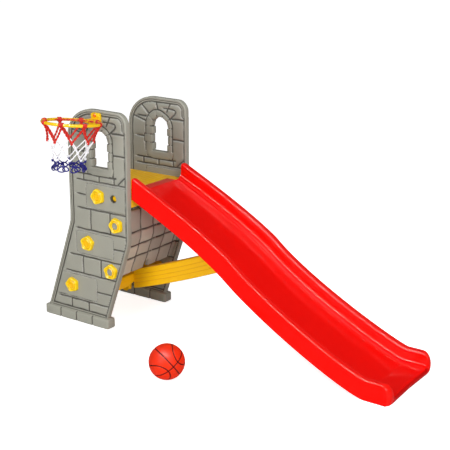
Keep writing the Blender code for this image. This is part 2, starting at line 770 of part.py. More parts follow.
# Strut
def strut_line(count):
    """The strut's middle line, a little hollow, from the step to the chute."""
    run = []
    slope = (STRUT_Z1 - STRUT_Z0) / (STRUT_X1 - STRUT_X0)
    end = PIN_X + 0.055
    for i in range(count + 1):
        x = STRUT_X0 + (end - STRUT_X0) * i / count
        t = (x - STRUT_X0) / (STRUT_X1 - STRUT_X0)
        sag = STRUT_SAG * 4 * t * (1 - t)
        run.append((x, STRUT_Z0 + slope * (x - STRUT_X0) - sag))
    return run


def strut_section():
    """The strut's section as (y, h): a plank with ribs on both sides."""
    half = STRUT_T / 2
    low = -STRUT_H / 2
    pts = [(half - 0.004, low), (half, low + 0.004)]
    pitch = (STRUT_H - 0.008) / RIB_COUNT
    for i in range(RIB_COUNT):
        base = low + 0.004 + pitch * i
        pts.append((half, base + pitch * 0.28))
        pts.append((half + RIB_H, base + pitch * 0.40))
        pts.append((half + RIB_H, base + pitch * 0.60))
        pts.append((half, base + pitch * 0.72))
    pts += [(half, -low - 0.004), (half - 0.004, -low)]
    return pts + [(-y, h) for y, h in pts[::-1]]


def build_strut():
    """The strut swept along its line, its ends cut to what they meet."""
    bm = bmesh.new()
    run = strut_line(9)
    section = strut_section()
    rings = []
    for i, (x, z) in enumerate(run):
        a = run[max(0, i - 1)]
        b = run[min(len(run) - 1, i + 1)]
        rise = math.atan2(b[1] - a[1], b[0] - a[0])
        lift = 1 / math.cos(rise)
        rings.append([bm.verts.new((x, y, z + h * lift)) for y, h in section])
    n = len(section)
    for ra, rb in zip(rings, rings[1:]):
        for i in range(n):
            j = (i + 1) % n
            bm.faces.new((ra[i], ra[j], rb[j], rb[i]))
    bm.faces.new(rings[0])
    bm.faces.new(rings[-1][::-1])
    return bm


strut = place("support_strut", to_mesh(build_strut(), "support_strut"), YELLOW, 0.4)
hook = bmesh.new()
hook_x1 = LOWER_X1 - TRAY_WALL - HOOK_SET
hook_x0 = hook_x1 - HOOK_LEN
tenon_top = tenon_low + TENON_H
outline = [(STRUT_X0 + 0.010, tenon_low), (STRUT_X0 + 0.010, tenon_top),
           (hook_x0 + 0.010, tenon_top), (hook_x0, tenon_top - 0.010),
           (hook_x0, HOOK_BOTTOM + 0.016)]
outline += arc(hook_x0 + HOOK_LEN / 2, HOOK_BOTTOM + 0.016, HOOK_LEN / 2, 0.016,
               190, 350, 7)
outline += [(hook_x1, HOOK_BOTTOM + 0.016), (hook_x1, tenon_low)]
prism(hook, outline, -tenon_half, tenon_half)
boolean(strut, place("strut_hook", to_mesh(hook, "hook", False), cutter=True), "UNION")
under = bmesh.new()
outline = []
for i in range(9):
    x = PIN_X - 0.09 + 0.18 * i / 8
    z, angle = chute_at(x)
    outline.append((x, z + (CHUTE_FLOOR - CHUTE_WALL) / math.cos(angle) - GAP * 1.5))
outline += [(PIN_X + 0.09, 0.62), (PIN_X - 0.09, 0.62)]
prism(under, outline, -0.05, 0.05)
boolean(strut, place("strut_top_cut", to_mesh(under, "under", False), cutter=True))
boolean(strut, rods_object("strut_pin_hole",
                           [(PIN_X, PIN_Z, -0.04, 0.04, PIN_R + GAP)], 20))
pin = bmesh.new()
add_rod(pin, 0, 0, -pin_reach, pin_reach, PIN_R, 16)
pin_head = bmesh.new()
add_rod(pin_head, 0, 0, -pin_reach - 0.003, -lug_in - LUG_T - GAP, PIN_R + 0.003, 16)
pin_obj = place("strut_pin", to_mesh(pin, "strut_pin"), YELLOW, 0.4,
                location=(PIN_X, 0, PIN_Z))
head = place("strut_pin_head", to_mesh(pin_head, "head"), cutter=True,
             location=(PIN_X, 0, PIN_Z))
boolean(pin_obj, head, "UNION")


# Star nuts
def star_curve(name):
    """A five-lobed outline with a round hole, thickened and eased."""
    curve = bpy.data.curves.new(name, "CURVE")
    curve.dimensions = "2D"
    curve.fill_mode = "BOTH"
    ease = 0.003
    curve.extrude = NUT_T / 2 - ease
    curve.bevel_depth = ease
    curve.bevel_resolution = 0
    curve.render_resolution_u = 0
    outer = curve.splines.new("POLY")
    count = NUT_LOBES * 4
    outer.points.add(count - 1)
    for i in range(count):
        a = 2 * math.pi * i / count
        r = NUT_R - NUT_LOBE - ease + NUT_LOBE * math.cos(NUT_LOBES * a)
        outer.points[i].co = (r * math.cos(a), r * math.sin(a), 0, 1)
    outer.use_cyclic_u = True
    inner = curve.splines.new("POLY")
    sides = 12
    inner.points.add(sides - 1)
    hole = (STUD_R + GAP) / math.cos(math.pi / sides) + ease
    for i in range(sides):
        a = -2 * math.pi * i / sides
        inner.points[i].co = (hole * math.cos(a), hole * math.sin(a), 0, 1)
    inner.use_cyclic_u = True
    return curve


def curve_to_mesh(curve, name):
    """A curve's evaluated solid as a welded mesh."""
    holder = bpy.data.objects.new(name, curve)
    scene.collection.objects.link(holder)
    bpy.context.view_layer.update()
    deps = bpy.context.evaluated_depsgraph_get()
    mesh = bpy.data.meshes.new_from_object(holder.evaluated_get(deps))
    bpy.data.objects.remove(holder, do_unlink=True)
    bm = bmesh.new()
    bm.from_mesh(mesh)
    bmesh.ops.remove_doubles(bm, verts=bm.verts, dist=1e-6)
    return to_mesh(bm, name)


nut_mesh = curve_to_mesh(star_curve("star_nut"), "star_nut")
nut_mesh.transform(Matrix.Rotation(math.pi / 2, 4, "X"))
nut_mesh.materials.append(material("star_nut", BRIGHT, 0.35))
nut_names = ("platform", "wall_high", "upper", "wall_low", "lower")
for label, spot in zip(nut_names, NUT_SPOTS):
    for side, where in ((-1, "near"), (1, "far")):
        nut = bpy.data.objects.new("nut_" + label + "_" + where, nut_mesh)
        nut.parent = root
        nut.location = (spot[0], side * (NUT_FACE + NUT_T / 2), spot[1])
        nut.rotation_euler = (0, math.radians(17 * len(label)), 0)
        parts.objects.link(nut)


# Hoop
def rounded_block(name, x0, x1, y0, y1, z0, z1, ease, cutter=False):
    """A block with all of its edges eased."""
    bm = bmesh.new()
    add_box(bm, x0, x1, y0, y1, z0, z1)
    bmesh.ops.bevel(bm, geom=bm.edges[:], offset=ease, segments=2, affect="EDGES",
                    profile=0.5)
    return place(name, to_mesh(bm, name), BRIGHT, 0.35, cutter)


bracket = rounded_block("hoop_bracket", MOUNT_X - BRACKET_W / 2, MOUNT_X + BRACKET_W / 2,
                        -BRACKET_FACE, -OUTER_HALF - GAP,
                        BRACKET_Z - BRACKET_H / 2, BRACKET_Z + BRACKET_H / 2, 0.004)
boolean(bracket, rods_object("bracket_hole", [(MOUNT_X, HOOP_BOLT_Z, -BRACKET_FACE - 0.01,
                                               -OUTER_HALF + 0.01, HOOP_BOLT_R + GAP)], 16))
arm_z = HOOP_Z - 0.004
socket_half = ARM_W / 2 - 0.008
socket_h = ARM_H / 2 - 0.007
boolean(bracket, box_object("bracket_socket", MOUNT_X - socket_half - GAP,
                            MOUNT_X + socket_half + GAP, -BRACKET_FACE - 0.01,
                            -BRACKET_FACE + 0.009, arm_z - socket_h - GAP,
                            arm_z + socket_h + GAP))


def hoop_frame():
    """The ring's own frame: its centre, tilted up away from the panel."""
    centre = Vector((HOOP_X, HOOP_Y, HOOP_Z + HOOP_R * math.sin(HOOP_TILT)))
    return Matrix.Translation(centre) @ Matrix.Rotation(-HOOP_TILT, 4, "X")


bpy.ops.mesh.primitive_torus_add(major_radius=HOOP_R, minor_radius=HOOP_TUBE,
                                 major_segments=36, minor_segments=10)
seed = bpy.context.object
torus_mesh = seed.data.copy()
bpy.data.objects.remove(seed, do_unlink=True)
torus_mesh.transform(hoop_frame())
torus_mesh.shade_smooth()
ring = place("hoop_ring", torus_mesh, BRIGHT, 0.3)
arm = rounded_block("hoop_arm", MOUNT_X - ARM_W / 2, MOUNT_X + ARM_W / 2,
                    -BRACKET_FACE - GAP - ARM_T, -BRACKET_FACE - GAP,
                    arm_z - ARM_H / 2, arm_z + ARM_H / 2, 0.003, True)
boolean(ring, arm, "UNION")
boolean(ring, box_object("hoop_tongue", MOUNT_X - socket_half, MOUNT_X + socket_half,
                         -BRACKET_FACE - 0.004, -BRACKET_FACE + 0.009 - GAP,
                         arm_z - socket_h, arm_z + socket_h), "UNION")

bolt_bm = bmesh.new()
profile = [(0.0, -0.0055), (0.0045, -0.0048), (0.0075, -0.002), (0.0080, -0.0004),
           (HOOP_BOLT_R, -0.0004)]
rings = []
shaft_end = BRACKET_T + PANEL_T + 0.012
profile.append((HOOP_BOLT_R, shaft_end))
sides = 16
for r, y in profile[1:]:
    ring_pts = []
    for i in range(sides):
        a = 2 * math.pi * i / sides
        ring_pts.append(bolt_bm.verts.new((r * math.cos(a), y, r * math.sin(a))))
    rings.append(ring_pts)
for ra, rb in zip(rings, rings[1:]):
    for i in range(sides):
        j = (i + 1) % sides
        bolt_bm.faces.new((ra[i], ra[j], rb[j], rb[i]))
bolt_bm.faces.new(rings[0])
bolt_bm.faces.new(rings[-1])
place("hoop_bolt", to_mesh(bolt_bm, "hoop_bolt"), ORANGE, 0.35,
      location=(MOUNT_X, -BRACKET_FACE, HOOP_BOLT_Z))
nut_bm = bmesh.new()
add_rod(nut_bm, 0, 0, GAP, 0.009, 0.010, 6)
hoop_nut = place("hoop_nut", to_mesh(nut_bm, "hoop_nut"), BRIGHT, 0.35,
                 location=(MOUNT_X, -INNER_HALF, HOOP_BOLT_Z))
boolean(hoop_nut, rods_object("hoop_nut_hole", [(MOUNT_X, HOOP_BOLT_Z, -INNER_HALF - 0.01,
                                                 -INNER_HALF + 0.02,
                                                 HOOP_BOLT_R + GAP)], 16))


# Net
def build_net():
    """Diamond netting on a narrowing cone, hung from wraps on the ring."""
    frame = hoop_frame()
    bm = bmesh.new()
    levels = []
    for k, (inset, drop) in enumerate(zip(NET_INSETS, NET_DROPS)):
        row = []
        radius = HOOP_R - inset
        for i in range(NET_LOOPS):
            a = 2 * math.pi * (i + 0.5 + 0.5 * (k % 2)) / NET_LOOPS
            flat = Vector((radius * math.cos(a), radius * math.sin(a), 0))
            row.append(bm.verts.new(frame @ flat - Vector((0, 0, drop))))
        levels.append(row)
    for k in range(len(levels) - 2):
        for i in range(NET_LOOPS):
            shift = i - 1 if k % 2 == 0 else i
            mid_a = levels[k + 1][shift % NET_LOOPS]
            mid_b = levels[k + 1][(shift + 1) % NET_LOOPS]
            bm.faces.new((levels[k][i], mid_a, levels[k + 2][i], mid_b))
    return bm


net = place("hoop_net", to_mesh(build_net(), "hoop_net", False), (0.85, 0.85, 0.85), 0.8)
wire = net.modifiers.new("cords", "WIREFRAME")
wire.thickness = NET_CORD
wire.use_even_offset = False
wire.use_boundary = True
wire.use_replace = True
wire.offset = 0.0


def build_wraps():
    """Eight short sleeves round the ring's tube, one at each net loop."""
    frame = hoop_frame()
    bm = bmesh.new()
    inner = HOOP_TUBE + GAP
    outer = inner + WRAP_T
    sides = 8
    for i in range(NET_LOOPS):
        mid = 2 * math.pi * (i + 0.5) / NET_LOOPS
        spread = WRAP_LEN / HOOP_R / 2
        rings = []
        for r, a in ((inner, mid - spread), (outer, mid - spread),
                     (outer, mid + spread), (inner, mid + spread)):
            loop = []
            for s in range(sides):
                b = 2 * math.pi * s / sides
                rr = HOOP_R + r * math.cos(b) / math.cos(math.pi / sides)
                p = Vector((rr * math.cos(a), rr * math.sin(a),
                            r * math.sin(b) / math.cos(math.pi / sides)))
                loop.append(bm.verts.new(frame @ p))
            rings.append(loop)
        for k in range(4):
            ra = rings[k]
            rb = rings[(k + 1) % 4]
            for s in range(sides):
                t = (s + 1) % sides
                bm.faces.new((ra[s], ra[t], rb[t], rb[s]))
    return bm


def build_knots():
    """A small knot at each of the net's top loops, under its sleeve."""
    bm = bmesh.new()
    for vert in list(net.data.vertices)[:NET_LOOPS]:
        bmesh.ops.create_icosphere(bm, subdivisions=1, radius=KNOT_R,
                                   matrix=Matrix.Translation(vert.co))
    return bm


knots = place("net_knots", to_mesh(build_knots(), "net_knots"), cutter=True)
boolean(net, knots, "UNION")
wraps = place("net_wraps", to_mesh(build_wraps(), "net_wraps"), cutter=True)
boolean(net, wraps, "UNION")


# Ball
bpy.ops.mesh.primitive_uv_sphere_add(segments=20, ring_count=12, radius=BALL_R)
seed = bpy.context.object
ball_mesh = seed.data.copy()
bpy.data.objects.remove(seed, do_unlink=True)
ball_mesh.shade_smooth()
place("ball", ball_mesh, ORANGE, 0.5, location=(BALL_X, BALL_Y, BALL_R))
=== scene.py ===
# %% [markdown]
# # A toddler's slide tower, dressed piece by piece
# The solid model gives the size and place of every part. This lesson lays a finer
# surface over each of them: moulded stone blocks, a glossy chute, star nuts, a
# netted hoop and a ball. Every shape is worked out as an array of points, so the
# same few helpers serve the whole object.

# %% Load the solid model
import math

import bmesh
import bpy
import numpy as np
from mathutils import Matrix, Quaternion, Vector


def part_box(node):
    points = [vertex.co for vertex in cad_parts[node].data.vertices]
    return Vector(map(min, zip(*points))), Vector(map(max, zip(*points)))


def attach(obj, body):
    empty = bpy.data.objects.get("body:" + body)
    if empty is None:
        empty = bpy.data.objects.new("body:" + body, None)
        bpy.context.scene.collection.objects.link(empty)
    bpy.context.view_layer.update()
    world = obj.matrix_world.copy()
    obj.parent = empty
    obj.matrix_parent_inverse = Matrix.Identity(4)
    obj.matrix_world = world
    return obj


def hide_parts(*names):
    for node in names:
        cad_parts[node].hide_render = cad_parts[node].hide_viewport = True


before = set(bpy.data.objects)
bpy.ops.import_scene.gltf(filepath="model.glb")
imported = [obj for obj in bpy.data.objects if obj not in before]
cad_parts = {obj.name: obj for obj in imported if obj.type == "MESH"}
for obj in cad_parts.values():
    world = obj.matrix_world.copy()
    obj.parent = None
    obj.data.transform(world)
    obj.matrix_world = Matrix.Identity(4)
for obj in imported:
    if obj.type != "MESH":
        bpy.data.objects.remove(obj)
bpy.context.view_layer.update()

# %% [markdown]
# Measures are easiest to read from a corner of the real thing. Here X counts from
# the panels' upper front edge, Y from the middle of the chute and Z from the
# floor, and one shift takes every finished mesh to the place of the solid model.

# %% Find the tower's own corner
near_low, near_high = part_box("side_panel_near")
far_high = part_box("side_panel_far")[1]
CORNER = np.array([near_high.x, (near_low.y + far_high.y) / 2, 0.0])
print("tower corner at", CORNER.round(4))

# %% [markdown]
# A camera is set up before anything else, so that each look at the work is from
# the same place. Its distance decides the perspective and its lens the size of
# the picture, so both come from measuring how fast parallel edges close up.

# %% Set up the camera
AZIMUTH = math.radians(34.25)
PITCH = math.radians(16.54)
ROLL = math.radians(0.41)
LENS_MM = 80.364
camera_data = bpy.data.cameras.new("view")
camera_data.lens = LENS_MM
camera_data.sensor_width = 36.0
camera_data.clip_end = 60.0
camera = bpy.data.objects.new("view", camera_data)
bpy.context.scene.collection.objects.link(camera)
camera.location = (2.1885, -3.0973, 1.6594)
ahead = Vector((-math.sin(AZIMUTH) * math.cos(PITCH),
                math.cos(AZIMUTH) * math.cos(PITCH), -math.sin(PITCH)))
camera.rotation_mode = "QUATERNION"
camera.rotation_quaternion = (ahead.to_track_quat("-Z", "Y")
                              @ Quaternion((0, 0, 1), ROLL))
bpy.context.scene.camera = camera
print("camera looks along", tuple(round(v, 3) for v in ahead))

# %% [markdown]
# A surface is a grid of points: rows along one parameter, columns along another.
# The faces are then only arithmetic on row and column numbers, with the last row
# or column joined to the first where the shape closes on itself.

# %% Faces of a grid
def grid_faces(rows, cols, wrap_rows=False, wrap_cols=False):
    """Each face joins point (i, j) to (i+1, j), (i+1, j+1) and (i, j+1)."""
    i, j = np.meshgrid(np.arange(rows if wrap_rows else rows - 1),
                       np.arange(cols if wrap_cols else cols - 1), indexing="ij")
    i2 = (i + 1) % rows
    j2 = (j + 1) % cols
    corners = [i * cols + j, i2 * cols + j, i2 * cols + j2, i * cols + j2]
    return np.stack(corners, -1).reshape(-1, 4)


print("a grid of 3 by 4 points has", len(grid_faces(3, 4)), "faces")

# %% [markdown]
# A patch is the pair that a mesh is built from: the points as one flat list and
# the faces as arrays of point numbers. An open sheet needs only its grid. A tube
# also needs two end faces, and a board needs a second sheet and the walls between.

# %% Patches from grids
def skin(grid, wrap_rows=False, wrap_cols=False):
    """A grid of points as a patch: the flat list of points and its faces."""
    rows, cols = grid.shape[:2]
    return grid.reshape(-1, 3), [grid_faces(rows, cols, wrap_rows, wrap_cols)]


def capped(grid):
    """A tube of rings with both ends closed by one many-sided face each."""
    rows, cols = grid.shape[:2]
    points, faces = skin(grid, wrap_cols=True)
    first = np.arange(cols)[None, :]
    last = first[:, ::-1] + (rows - 1) * cols
    return points, faces + [first, last]


def slab(top, under, keep=None):
    """Two grids of the same size as one closed shell, joined where cells end."""
    rows, cols = top.shape[:2]
    if keep is None:
        keep = np.ones((rows - 1, cols - 1), bool)
    index = np.arange(rows * cols).reshape(rows, cols)
    cell = [index[:-1, :-1], index[1:, :-1], index[1:, 1:], index[:-1, 1:]]
    upper = np.stack([c[keep] for c in cell], -1)
    faces = [upper, upper[:, ::-1] + rows * cols]
    around = np.pad(keep, 1)
    for (di, dj), (p, q) in (((0, -1), (0, 1)), ((0, 1), (2, 3)),
                             ((-1, 0), (3, 0)), ((1, 0), (1, 2))):
        open_side = keep & ~around[1 + di:rows + di, 1 + dj:cols + dj]
        a = cell[p][open_side]
        b = cell[q][open_side]
        faces.append(np.stack([b, a, a + rows * cols, b + rows * cols], -1))
    points = np.concatenate([top.reshape(-1, 3), under.reshape(-1, 3)])
    return points, faces


# %% [markdown]
# One function turns any number of patches into a finished object: it shifts the
# points into place, writes them straight into the mesh, merges the seams, turns
# the faces outwards and shades smooth wherever neighbouring faces meet gently.
# It also hangs the piece on the body that carries it and hides the solid it stands for.

# %% From patches to a piece
def piece(name, patches, finish, body="tower", instead_of=(), crease=40,
          values=None):
    """A finished object from (points, faces) patches; values adds attributes."""
    points = np.concatenate([own for own, _ in patches]) + CORNER
    loops = []
    sizes = []
    base = 0
    for own, faces in patches:
        for group in faces:
            if len(group):
                loops.append((group + base).ravel())
                sizes.append(np.full(len(group), group.shape[1]))
        base += len(own)
    loops = np.concatenate(loops).astype(np.int32)
    sizes = np.concatenate(sizes)
    starts = (np.cumsum(sizes) - sizes).astype(np.int32)
    mesh = bpy.data.meshes.new(name)
    mesh.vertices.add(len(points))
    mesh.vertices.foreach_set("co", points.astype(np.float32).ravel())
    mesh.loops.add(len(loops))
    mesh.loops.foreach_set("vertex_index", loops)
    mesh.polygons.add(len(starts))
    mesh.polygons.foreach_set("loop_start", starts)
    mesh.update(calc_edges=True)
    for label, numbers in (values or {}).items():
        layer = mesh.attributes.new(label, "FLOAT", "POINT")
        layer.data.foreach_set("value", np.asarray(numbers, np.float32).ravel())
    bm = bmesh.new()
    bm.from_mesh(mesh)
    bmesh.ops.delete(bm, geom=[v for v in bm.verts if not v.link_faces],
                     context="VERTS")
    bmesh.ops.remove_doubles(bm, verts=bm.verts, dist=2e-6)
    bmesh.ops.recalc_face_normals(bm, faces=bm.faces)
    bm.to_mesh(mesh)
    bm.free()
    mesh.shade_smooth()
    mesh.set_sharp_from_angle(angle=math.radians(crease))
    mesh.materials.append(finish)
    made = bpy.data.objects.new(name, mesh)
    bpy.context.scene.collection.objects.link(made)
    if instead_of:
        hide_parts(*instead_of)
    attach(made, body)
    print(name, len(mesh.polygons), "faces")
    return made


# %% [markdown]
# Drawn lines are handled as lists of points. They are spaced evenly, rounded by
# cutting corners again and again, and carried along as the spine of a profile.

# %% Lines and profiles
def spaced(line, step, closed=False):
    """Points at an even step along a line, by adding up its lengths."""
    line = np.asarray(line, float)
    if closed:
        line = np.concatenate([line, line[:1]])
    lengths = np.linalg.norm(np.diff(line, axis=0), axis=1)
    reached = np.concatenate([[0], np.cumsum(lengths)])
    count = max(2, int(round(reached[-1] / step)))
    at = np.linspace(0, reached[-1], count + 1)
    if closed:
        at = at[:-1]
    return np.stack([np.interp(at, reached, column) for column in line.T], -1)


def eased(line, times=3, closed=False):
    """Corner cutting: each side keeps the points at a quarter and three quarters."""
    line = np.asarray(line, float)
    for _ in range(times):
        a = line if closed else line[:-1]
        b = np.roll(line, -1, 0) if closed else line[1:]
        cut = np.stack([0.75 * a + 0.25 * b, 0.25 * a + 0.75 * b], 1)
        cut = cut.reshape(-1, line.shape[1])
        line = cut if closed else np.concatenate([line[:1], cut, line[-1:]])
    return line


def arc(cx, cz, rx, rz, start, end, count=24):
    """Points on an ellipse from one angle to another, in degrees."""
    a = np.radians(np.linspace(start, end, count))
    return np.stack([cx + rx * np.cos(a), cz + rz * np.sin(a)], -1)


def corner_arcs(x0, x1, y0, y1, r, steps):
    """The quarter circles of radius r at a rectangle's four corners."""
    return [arc(x, y, r, r, start, start + 90, steps)
            for x, y, start in ((x1 - r, y1 - r, 0), (x0 + r, y1 - r, 90),
                                (x0 + r, y0 + r, 180), (x1 - r, y0 + r, 270))]


def soft_box(x0, x1, y0, y1, r, steps=5):
    """A closed rectangle with rounded corners, as one line."""
    return np.concatenate(corner_arcs(x0, x1, y0, y1, r, steps))


print("a rounded square is", len(soft_box(0, 1, 0, 1, 0.2)), "points")

# %% [markdown]
# To carry a profile along a line, each point needs to know which way the line is
# heading and where its left side is. A plate is a stack of such rings, one inside
# the other where the edge is rounded.

# %% Directions and plates
def unit(vectors):
    """Each vector divided by its own length."""
    vectors = np.asarray(vectors, float)
    return vectors / np.linalg.norm(vectors, axis=-1, keepdims=True)


def heading(line, closed=False):
    """The unit direction of travel at each point, from its two neighbours."""
    if closed:
        return unit(np.roll(line, -1, 0) - np.roll(line, 1, 0))
    return unit(np.gradient(line, axis=0))


def left_of(line, closed=True):
    """Unit normals on the left of a flat line's direction of travel."""
    along = heading(line, closed)
    return np.stack([-along[:, 1], along[:, 0]], -1)


def band(line, profile):
    """A closed (d, y) profile carried round a closed line drawn in (x, z).

    Each point is the line's point plus d along its left normal, at height y.
    The profile may be one for all points or one for each.
    """
    profile = np.broadcast_to(profile, (len(line),) + profile.shape[-2:])
    across = left_of(line)
    flat = line[:, None, :] + across[:, None, :] * profile[..., :1]
    return np.stack([flat[..., 0], profile[..., 1], flat[..., 1]], -1)


def cut_plate(outline, y0, y1, ease, steps=4):
    """A flat outline in (x, z) as a plate between two y values, edges rounded.

    Rings follow a quarter circle of the easing radius at either face.
    """
    outline = np.asarray(outline, float)
    inward = left_of(outline)
    turn = np.radians(np.linspace(90, 0, steps))
    inset = ease * (1 - np.cos(turn))
    depth = ease * (1 - np.sin(turn))
    insets = np.concatenate([inset, inset[::-1]])
    ys = np.concatenate([y0 + depth, y1 - depth[::-1]])
    flat = outline[None] + inward[None] * insets[:, None, None]
    y = np.broadcast_to(ys[:, None], flat.shape[:2])
    return capped(np.stack([flat[..., 0], y, flat[..., 1]], -1))


print("a plate's eased square is", len(cut_plate(soft_box(0, 1, 0, 1, 0.2), 0, 1,
                                                 0.01)[0]), "points")

# %% [markdown]
# Round things are rings. On a lathe the rings stand round one straight axis, and
# here that axis always runs across the tower, along Y. On a cord the rings follow
# a path in space, and each ring is turned as little as possible against the last
# one, so that the tube does not twist.

# %% Tubes and turned shapes
def full_turn(count):
    """Even angles once round, stopping one step short of the first."""
    return np.linspace(0, 2 * math.pi, count, endpoint=False)


def tube(path, radius, sides=8, closed=False):
    """Rings of side cos(a) + other sin(a), times the radius, round each point."""
    path = np.asarray(path, float)
    along = heading(path, closed)
    side = np.zeros_like(path)
    upright = abs(along[0, 2]) > 0.9
    guess = np.array([1.0, 0.0, 0.0] if upright else [0.0, 0.0, 1.0])
    for k, t in enumerate(along):
        guess = unit(guess - t * (guess @ t))
        side[k] = guess
    other = np.cross(along, side)
    a = full_turn(sides)[:, None]
    radius = np.broadcast_to(np.asarray(radius, float), (len(path),))
    ring = side[:, None] * np.cos(a) + other[:, None] * np.sin(a)
    grid = path[:, None] + ring * radius[:, None, None]
    if closed:
        return skin(grid, wrap_rows=True, wrap_cols=True)
    return capped(grid)


def spun(centre, radius, y):
    """Rows of radii at even angles: (x + r cos a, y, z + r sin a)."""
    a = full_turn(len(radius))[:, None]
    return np.stack([centre[0] + radius * np.cos(a), np.broadcast_to(y, radius.shape),
                     centre[1] + radius * np.sin(a)], -1)


def lathe(profile, centre, base, way=1, sides=32):
    """A (radius, reach) profile spun about Y, from base towards way, 1 or -1."""
    radius, reach = np.asarray(profile, float).T
    return spun(centre, np.broadcast_to(radius, (sides, len(radius))),
                base + way * reach)


def smooth(t):
    """The S-shaped step 3t^2 - 2t^3, held at 0 and 1 outside its run."""
    t = np.clip(t, 0, 1)
    return t * t * (3 - 2 * t)


def flip_side(patch, side):
    """The patch as drawn at +Y, or its mirror image at -Y."""
    points, faces = patch
    return points * np.array([1.0, side, 1.0]), faces


print("half way up the step is", smooth(0.5))

# %% [markdown]
# ## Finishes
# The tower is moulded plastic in five colours. Under a lamp it shows a fine grain
# from the mould and slightly uneven colour. Dust and painted shade darken the low
# places, and the edges are paler, partly from rubbing and partly as a painted
# highlight. Those effects come back on every part, so each is a node group of its
# own, and the materials only choose how strong they are.

# %% Node group helpers
def node_group(name, inputs, outputs):
    """An empty shader group with named sockets, and its two end nodes."""
    tree = bpy.data.node_groups.new(name, "ShaderNodeTree")
    for label, kind, start in inputs:
        socket = tree.interface.new_socket(label, in_out="INPUT", socket_type=kind)
        socket.default_value = start
    for label, kind in outputs:
        tree.interface.new_socket(label, in_out="OUTPUT", socket_type=kind)
    return tree, tree.nodes.new("NodeGroupInput"), tree.nodes.new("NodeGroupOutput")


def add(tree, kind, settings=None, **sockets):
    """A node with its settings, each socket linked to a socket or set to a value."""
    node = tree.nodes.new(kind)
    for key, value in (settings or {}).items():
        setattr(node, key, value)
    for key, value in sockets.items():
        target = node.inputs[int(key[1:])] if key[1:].isdigit() else (
            node.inputs[key.replace("_", " ")])
        if isinstance(value, bpy.types.NodeSocket):
            tree.links.new(value, target)
        else:
            target.default_value = value
    return node


def maths(tree, operation, a, b=0.0, clamp=False):
    """One sum of two numbers; returns the socket with the result."""
    node = add(tree, "ShaderNodeMath", {"operation": operation, "use_clamp": clamp},
               i0=a, i1=b)
    return node.outputs[0]


def blend_colours(tree, share, a, b, mode="MIX"):
    """Two colours mixed by a share; returns the colour."""
    node = add(tree, "ShaderNodeMix", {"data_type": "RGBA", "blend_type": mode},
               i0=share, i6=a, i7=b)
    return node.outputs[2]


def own_place(tree):
    """Each point's place in its object, which is its place on the tower."""
    return add(tree, "ShaderNodeTexCoord").outputs["Object"]


def noise(tree, where, scale, detail, **more):
    """The value of a cloudy noise, whose lumps are 1 / scale metres across."""
    return add(tree, "ShaderNodeTexNoise", Vector=where, Scale=scale, Detail=detail,
               **more).outputs[0]


def new_material(name, base, **plain):
    """A material with plain values on its shader; returns it, its tree and shader."""
    mat = bpy.data.materials.new(name)
    mat.use_nodes = True
    mat.diffuse_color = (*base, 1)
    shader = mat.node_tree.nodes["Principled BSDF"]
    for label, value in plain.items():
        shader.inputs[label.replace("_", " ")].default_value = value
    return mat, mat.node_tree, shader


FLOAT = "NodeSocketFloat"
COLOUR = "NodeSocketColor"
VECTOR = "NodeSocketVector"
print("node helpers ready")

# %% [markdown]
# Mould grain is two sizes of noise: a fine one that the fingertips feel and a
# broad one from the wall of a hollow part drawing in a little as it cools. Both
# go into one bump height, in metres, so the strength reads as a real depth.

# %% Mould grain
grain, g_in, g_out = node_group(
    "mould_grain",
    [("Fine Size", FLOAT, 0.0012), ("Fine Depth", FLOAT, 0.00004),
     ("Wave Size", FLOAT, 0.05), ("Wave Depth", FLOAT, 0.0002)],
    [("Height", FLOAT), ("Speckle", FLOAT), ("Normal", VECTOR)])
where = own_place(grain)
fine = noise(grain, where, maths(grain, "DIVIDE", 1.0, g_in.outputs["Fine Size"]), 3.0,
             Roughness=0.6)
wave = noise(grain, where, maths(grain, "DIVIDE", 1.0, g_in.outputs["Wave Size"]), 1.0)
height = maths(grain, "ADD", maths(grain, "MULTIPLY", fine, g_in.outputs["Fine Depth"]),
               maths(grain, "MULTIPLY", wave, g_in.outputs["Wave Depth"]))
bump = add(grain, "ShaderNodeBump", Height=height, Distance=1.0, Strength=1.0)
grain.links.new(height, g_out.inputs["Height"])
grain.links.new(fine, g_out.inputs["Speckle"])
grain.links.new(bump.outputs[0], g_out.inputs["Normal"])
print("mould grain has", len(grain.nodes), "nodes")

# %% [markdown]
# Colour is never quite even in moulded plastic. A broad noise shifts the tone, a
# finer one puts flecks into it, and a mask darkens the grooves with dust and
# painted shade. A second mask lightens the edges, partly as rubbed wear and partly
# as a painted highlight.

# %% Uneven colour, dust, painted shade and painted highlights
tone, t_in, t_out = node_group(
    "uneven_tone",
    [("Base", COLOUR, (0.5, 0.5, 0.5, 1)), ("Dusty", COLOUR, (0.3, 0.3, 0.3, 1)),
     ("Rubbed", COLOUR, (0.8, 0.8, 0.8, 1)), ("Unevenness", FLOAT, 0.1),
     ("Flecks", FLOAT, 0.05), ("Low Places", FLOAT, 0.0), ("Edges", FLOAT, 0.0),
     ("Tint", FLOAT, 0.0), ("Roughness", FLOAT, 0.5)],
    [("Color", COLOUR), ("Roughness", FLOAT)])
where = own_place(tone)
broad = noise(tone, where, 9.0, 3.0)
fleck = noise(tone, where, 420.0, 2.0)
shift = maths(tone, "MULTIPLY", maths(tone, "SUBTRACT", broad, 0.5),
              t_in.outputs["Unevenness"])
shift = maths(tone, "ADD", shift, maths(
    tone, "MULTIPLY", maths(tone, "SUBTRACT", fleck, 0.5), t_in.outputs["Flecks"]))
lifted = add(tone, "ShaderNodeHueSaturation", Color=t_in.outputs["Base"],
             Value=maths(tone, "ADD", maths(tone, "ADD", shift, 1.0),
                         t_in.outputs["Tint"])).outputs[0]
# Dust and painted shade, where the Low Places mask marks the grooves.
dust_and_shade = maths(tone, "MULTIPLY", t_in.outputs["Low Places"],
             maths(tone, "ADD", maths(tone, "MULTIPLY", broad, 0.5), 0.6), True)
dusted_and_shaded = blend_colours(tone, dust_and_shade, lifted, t_in.outputs["Dusty"])
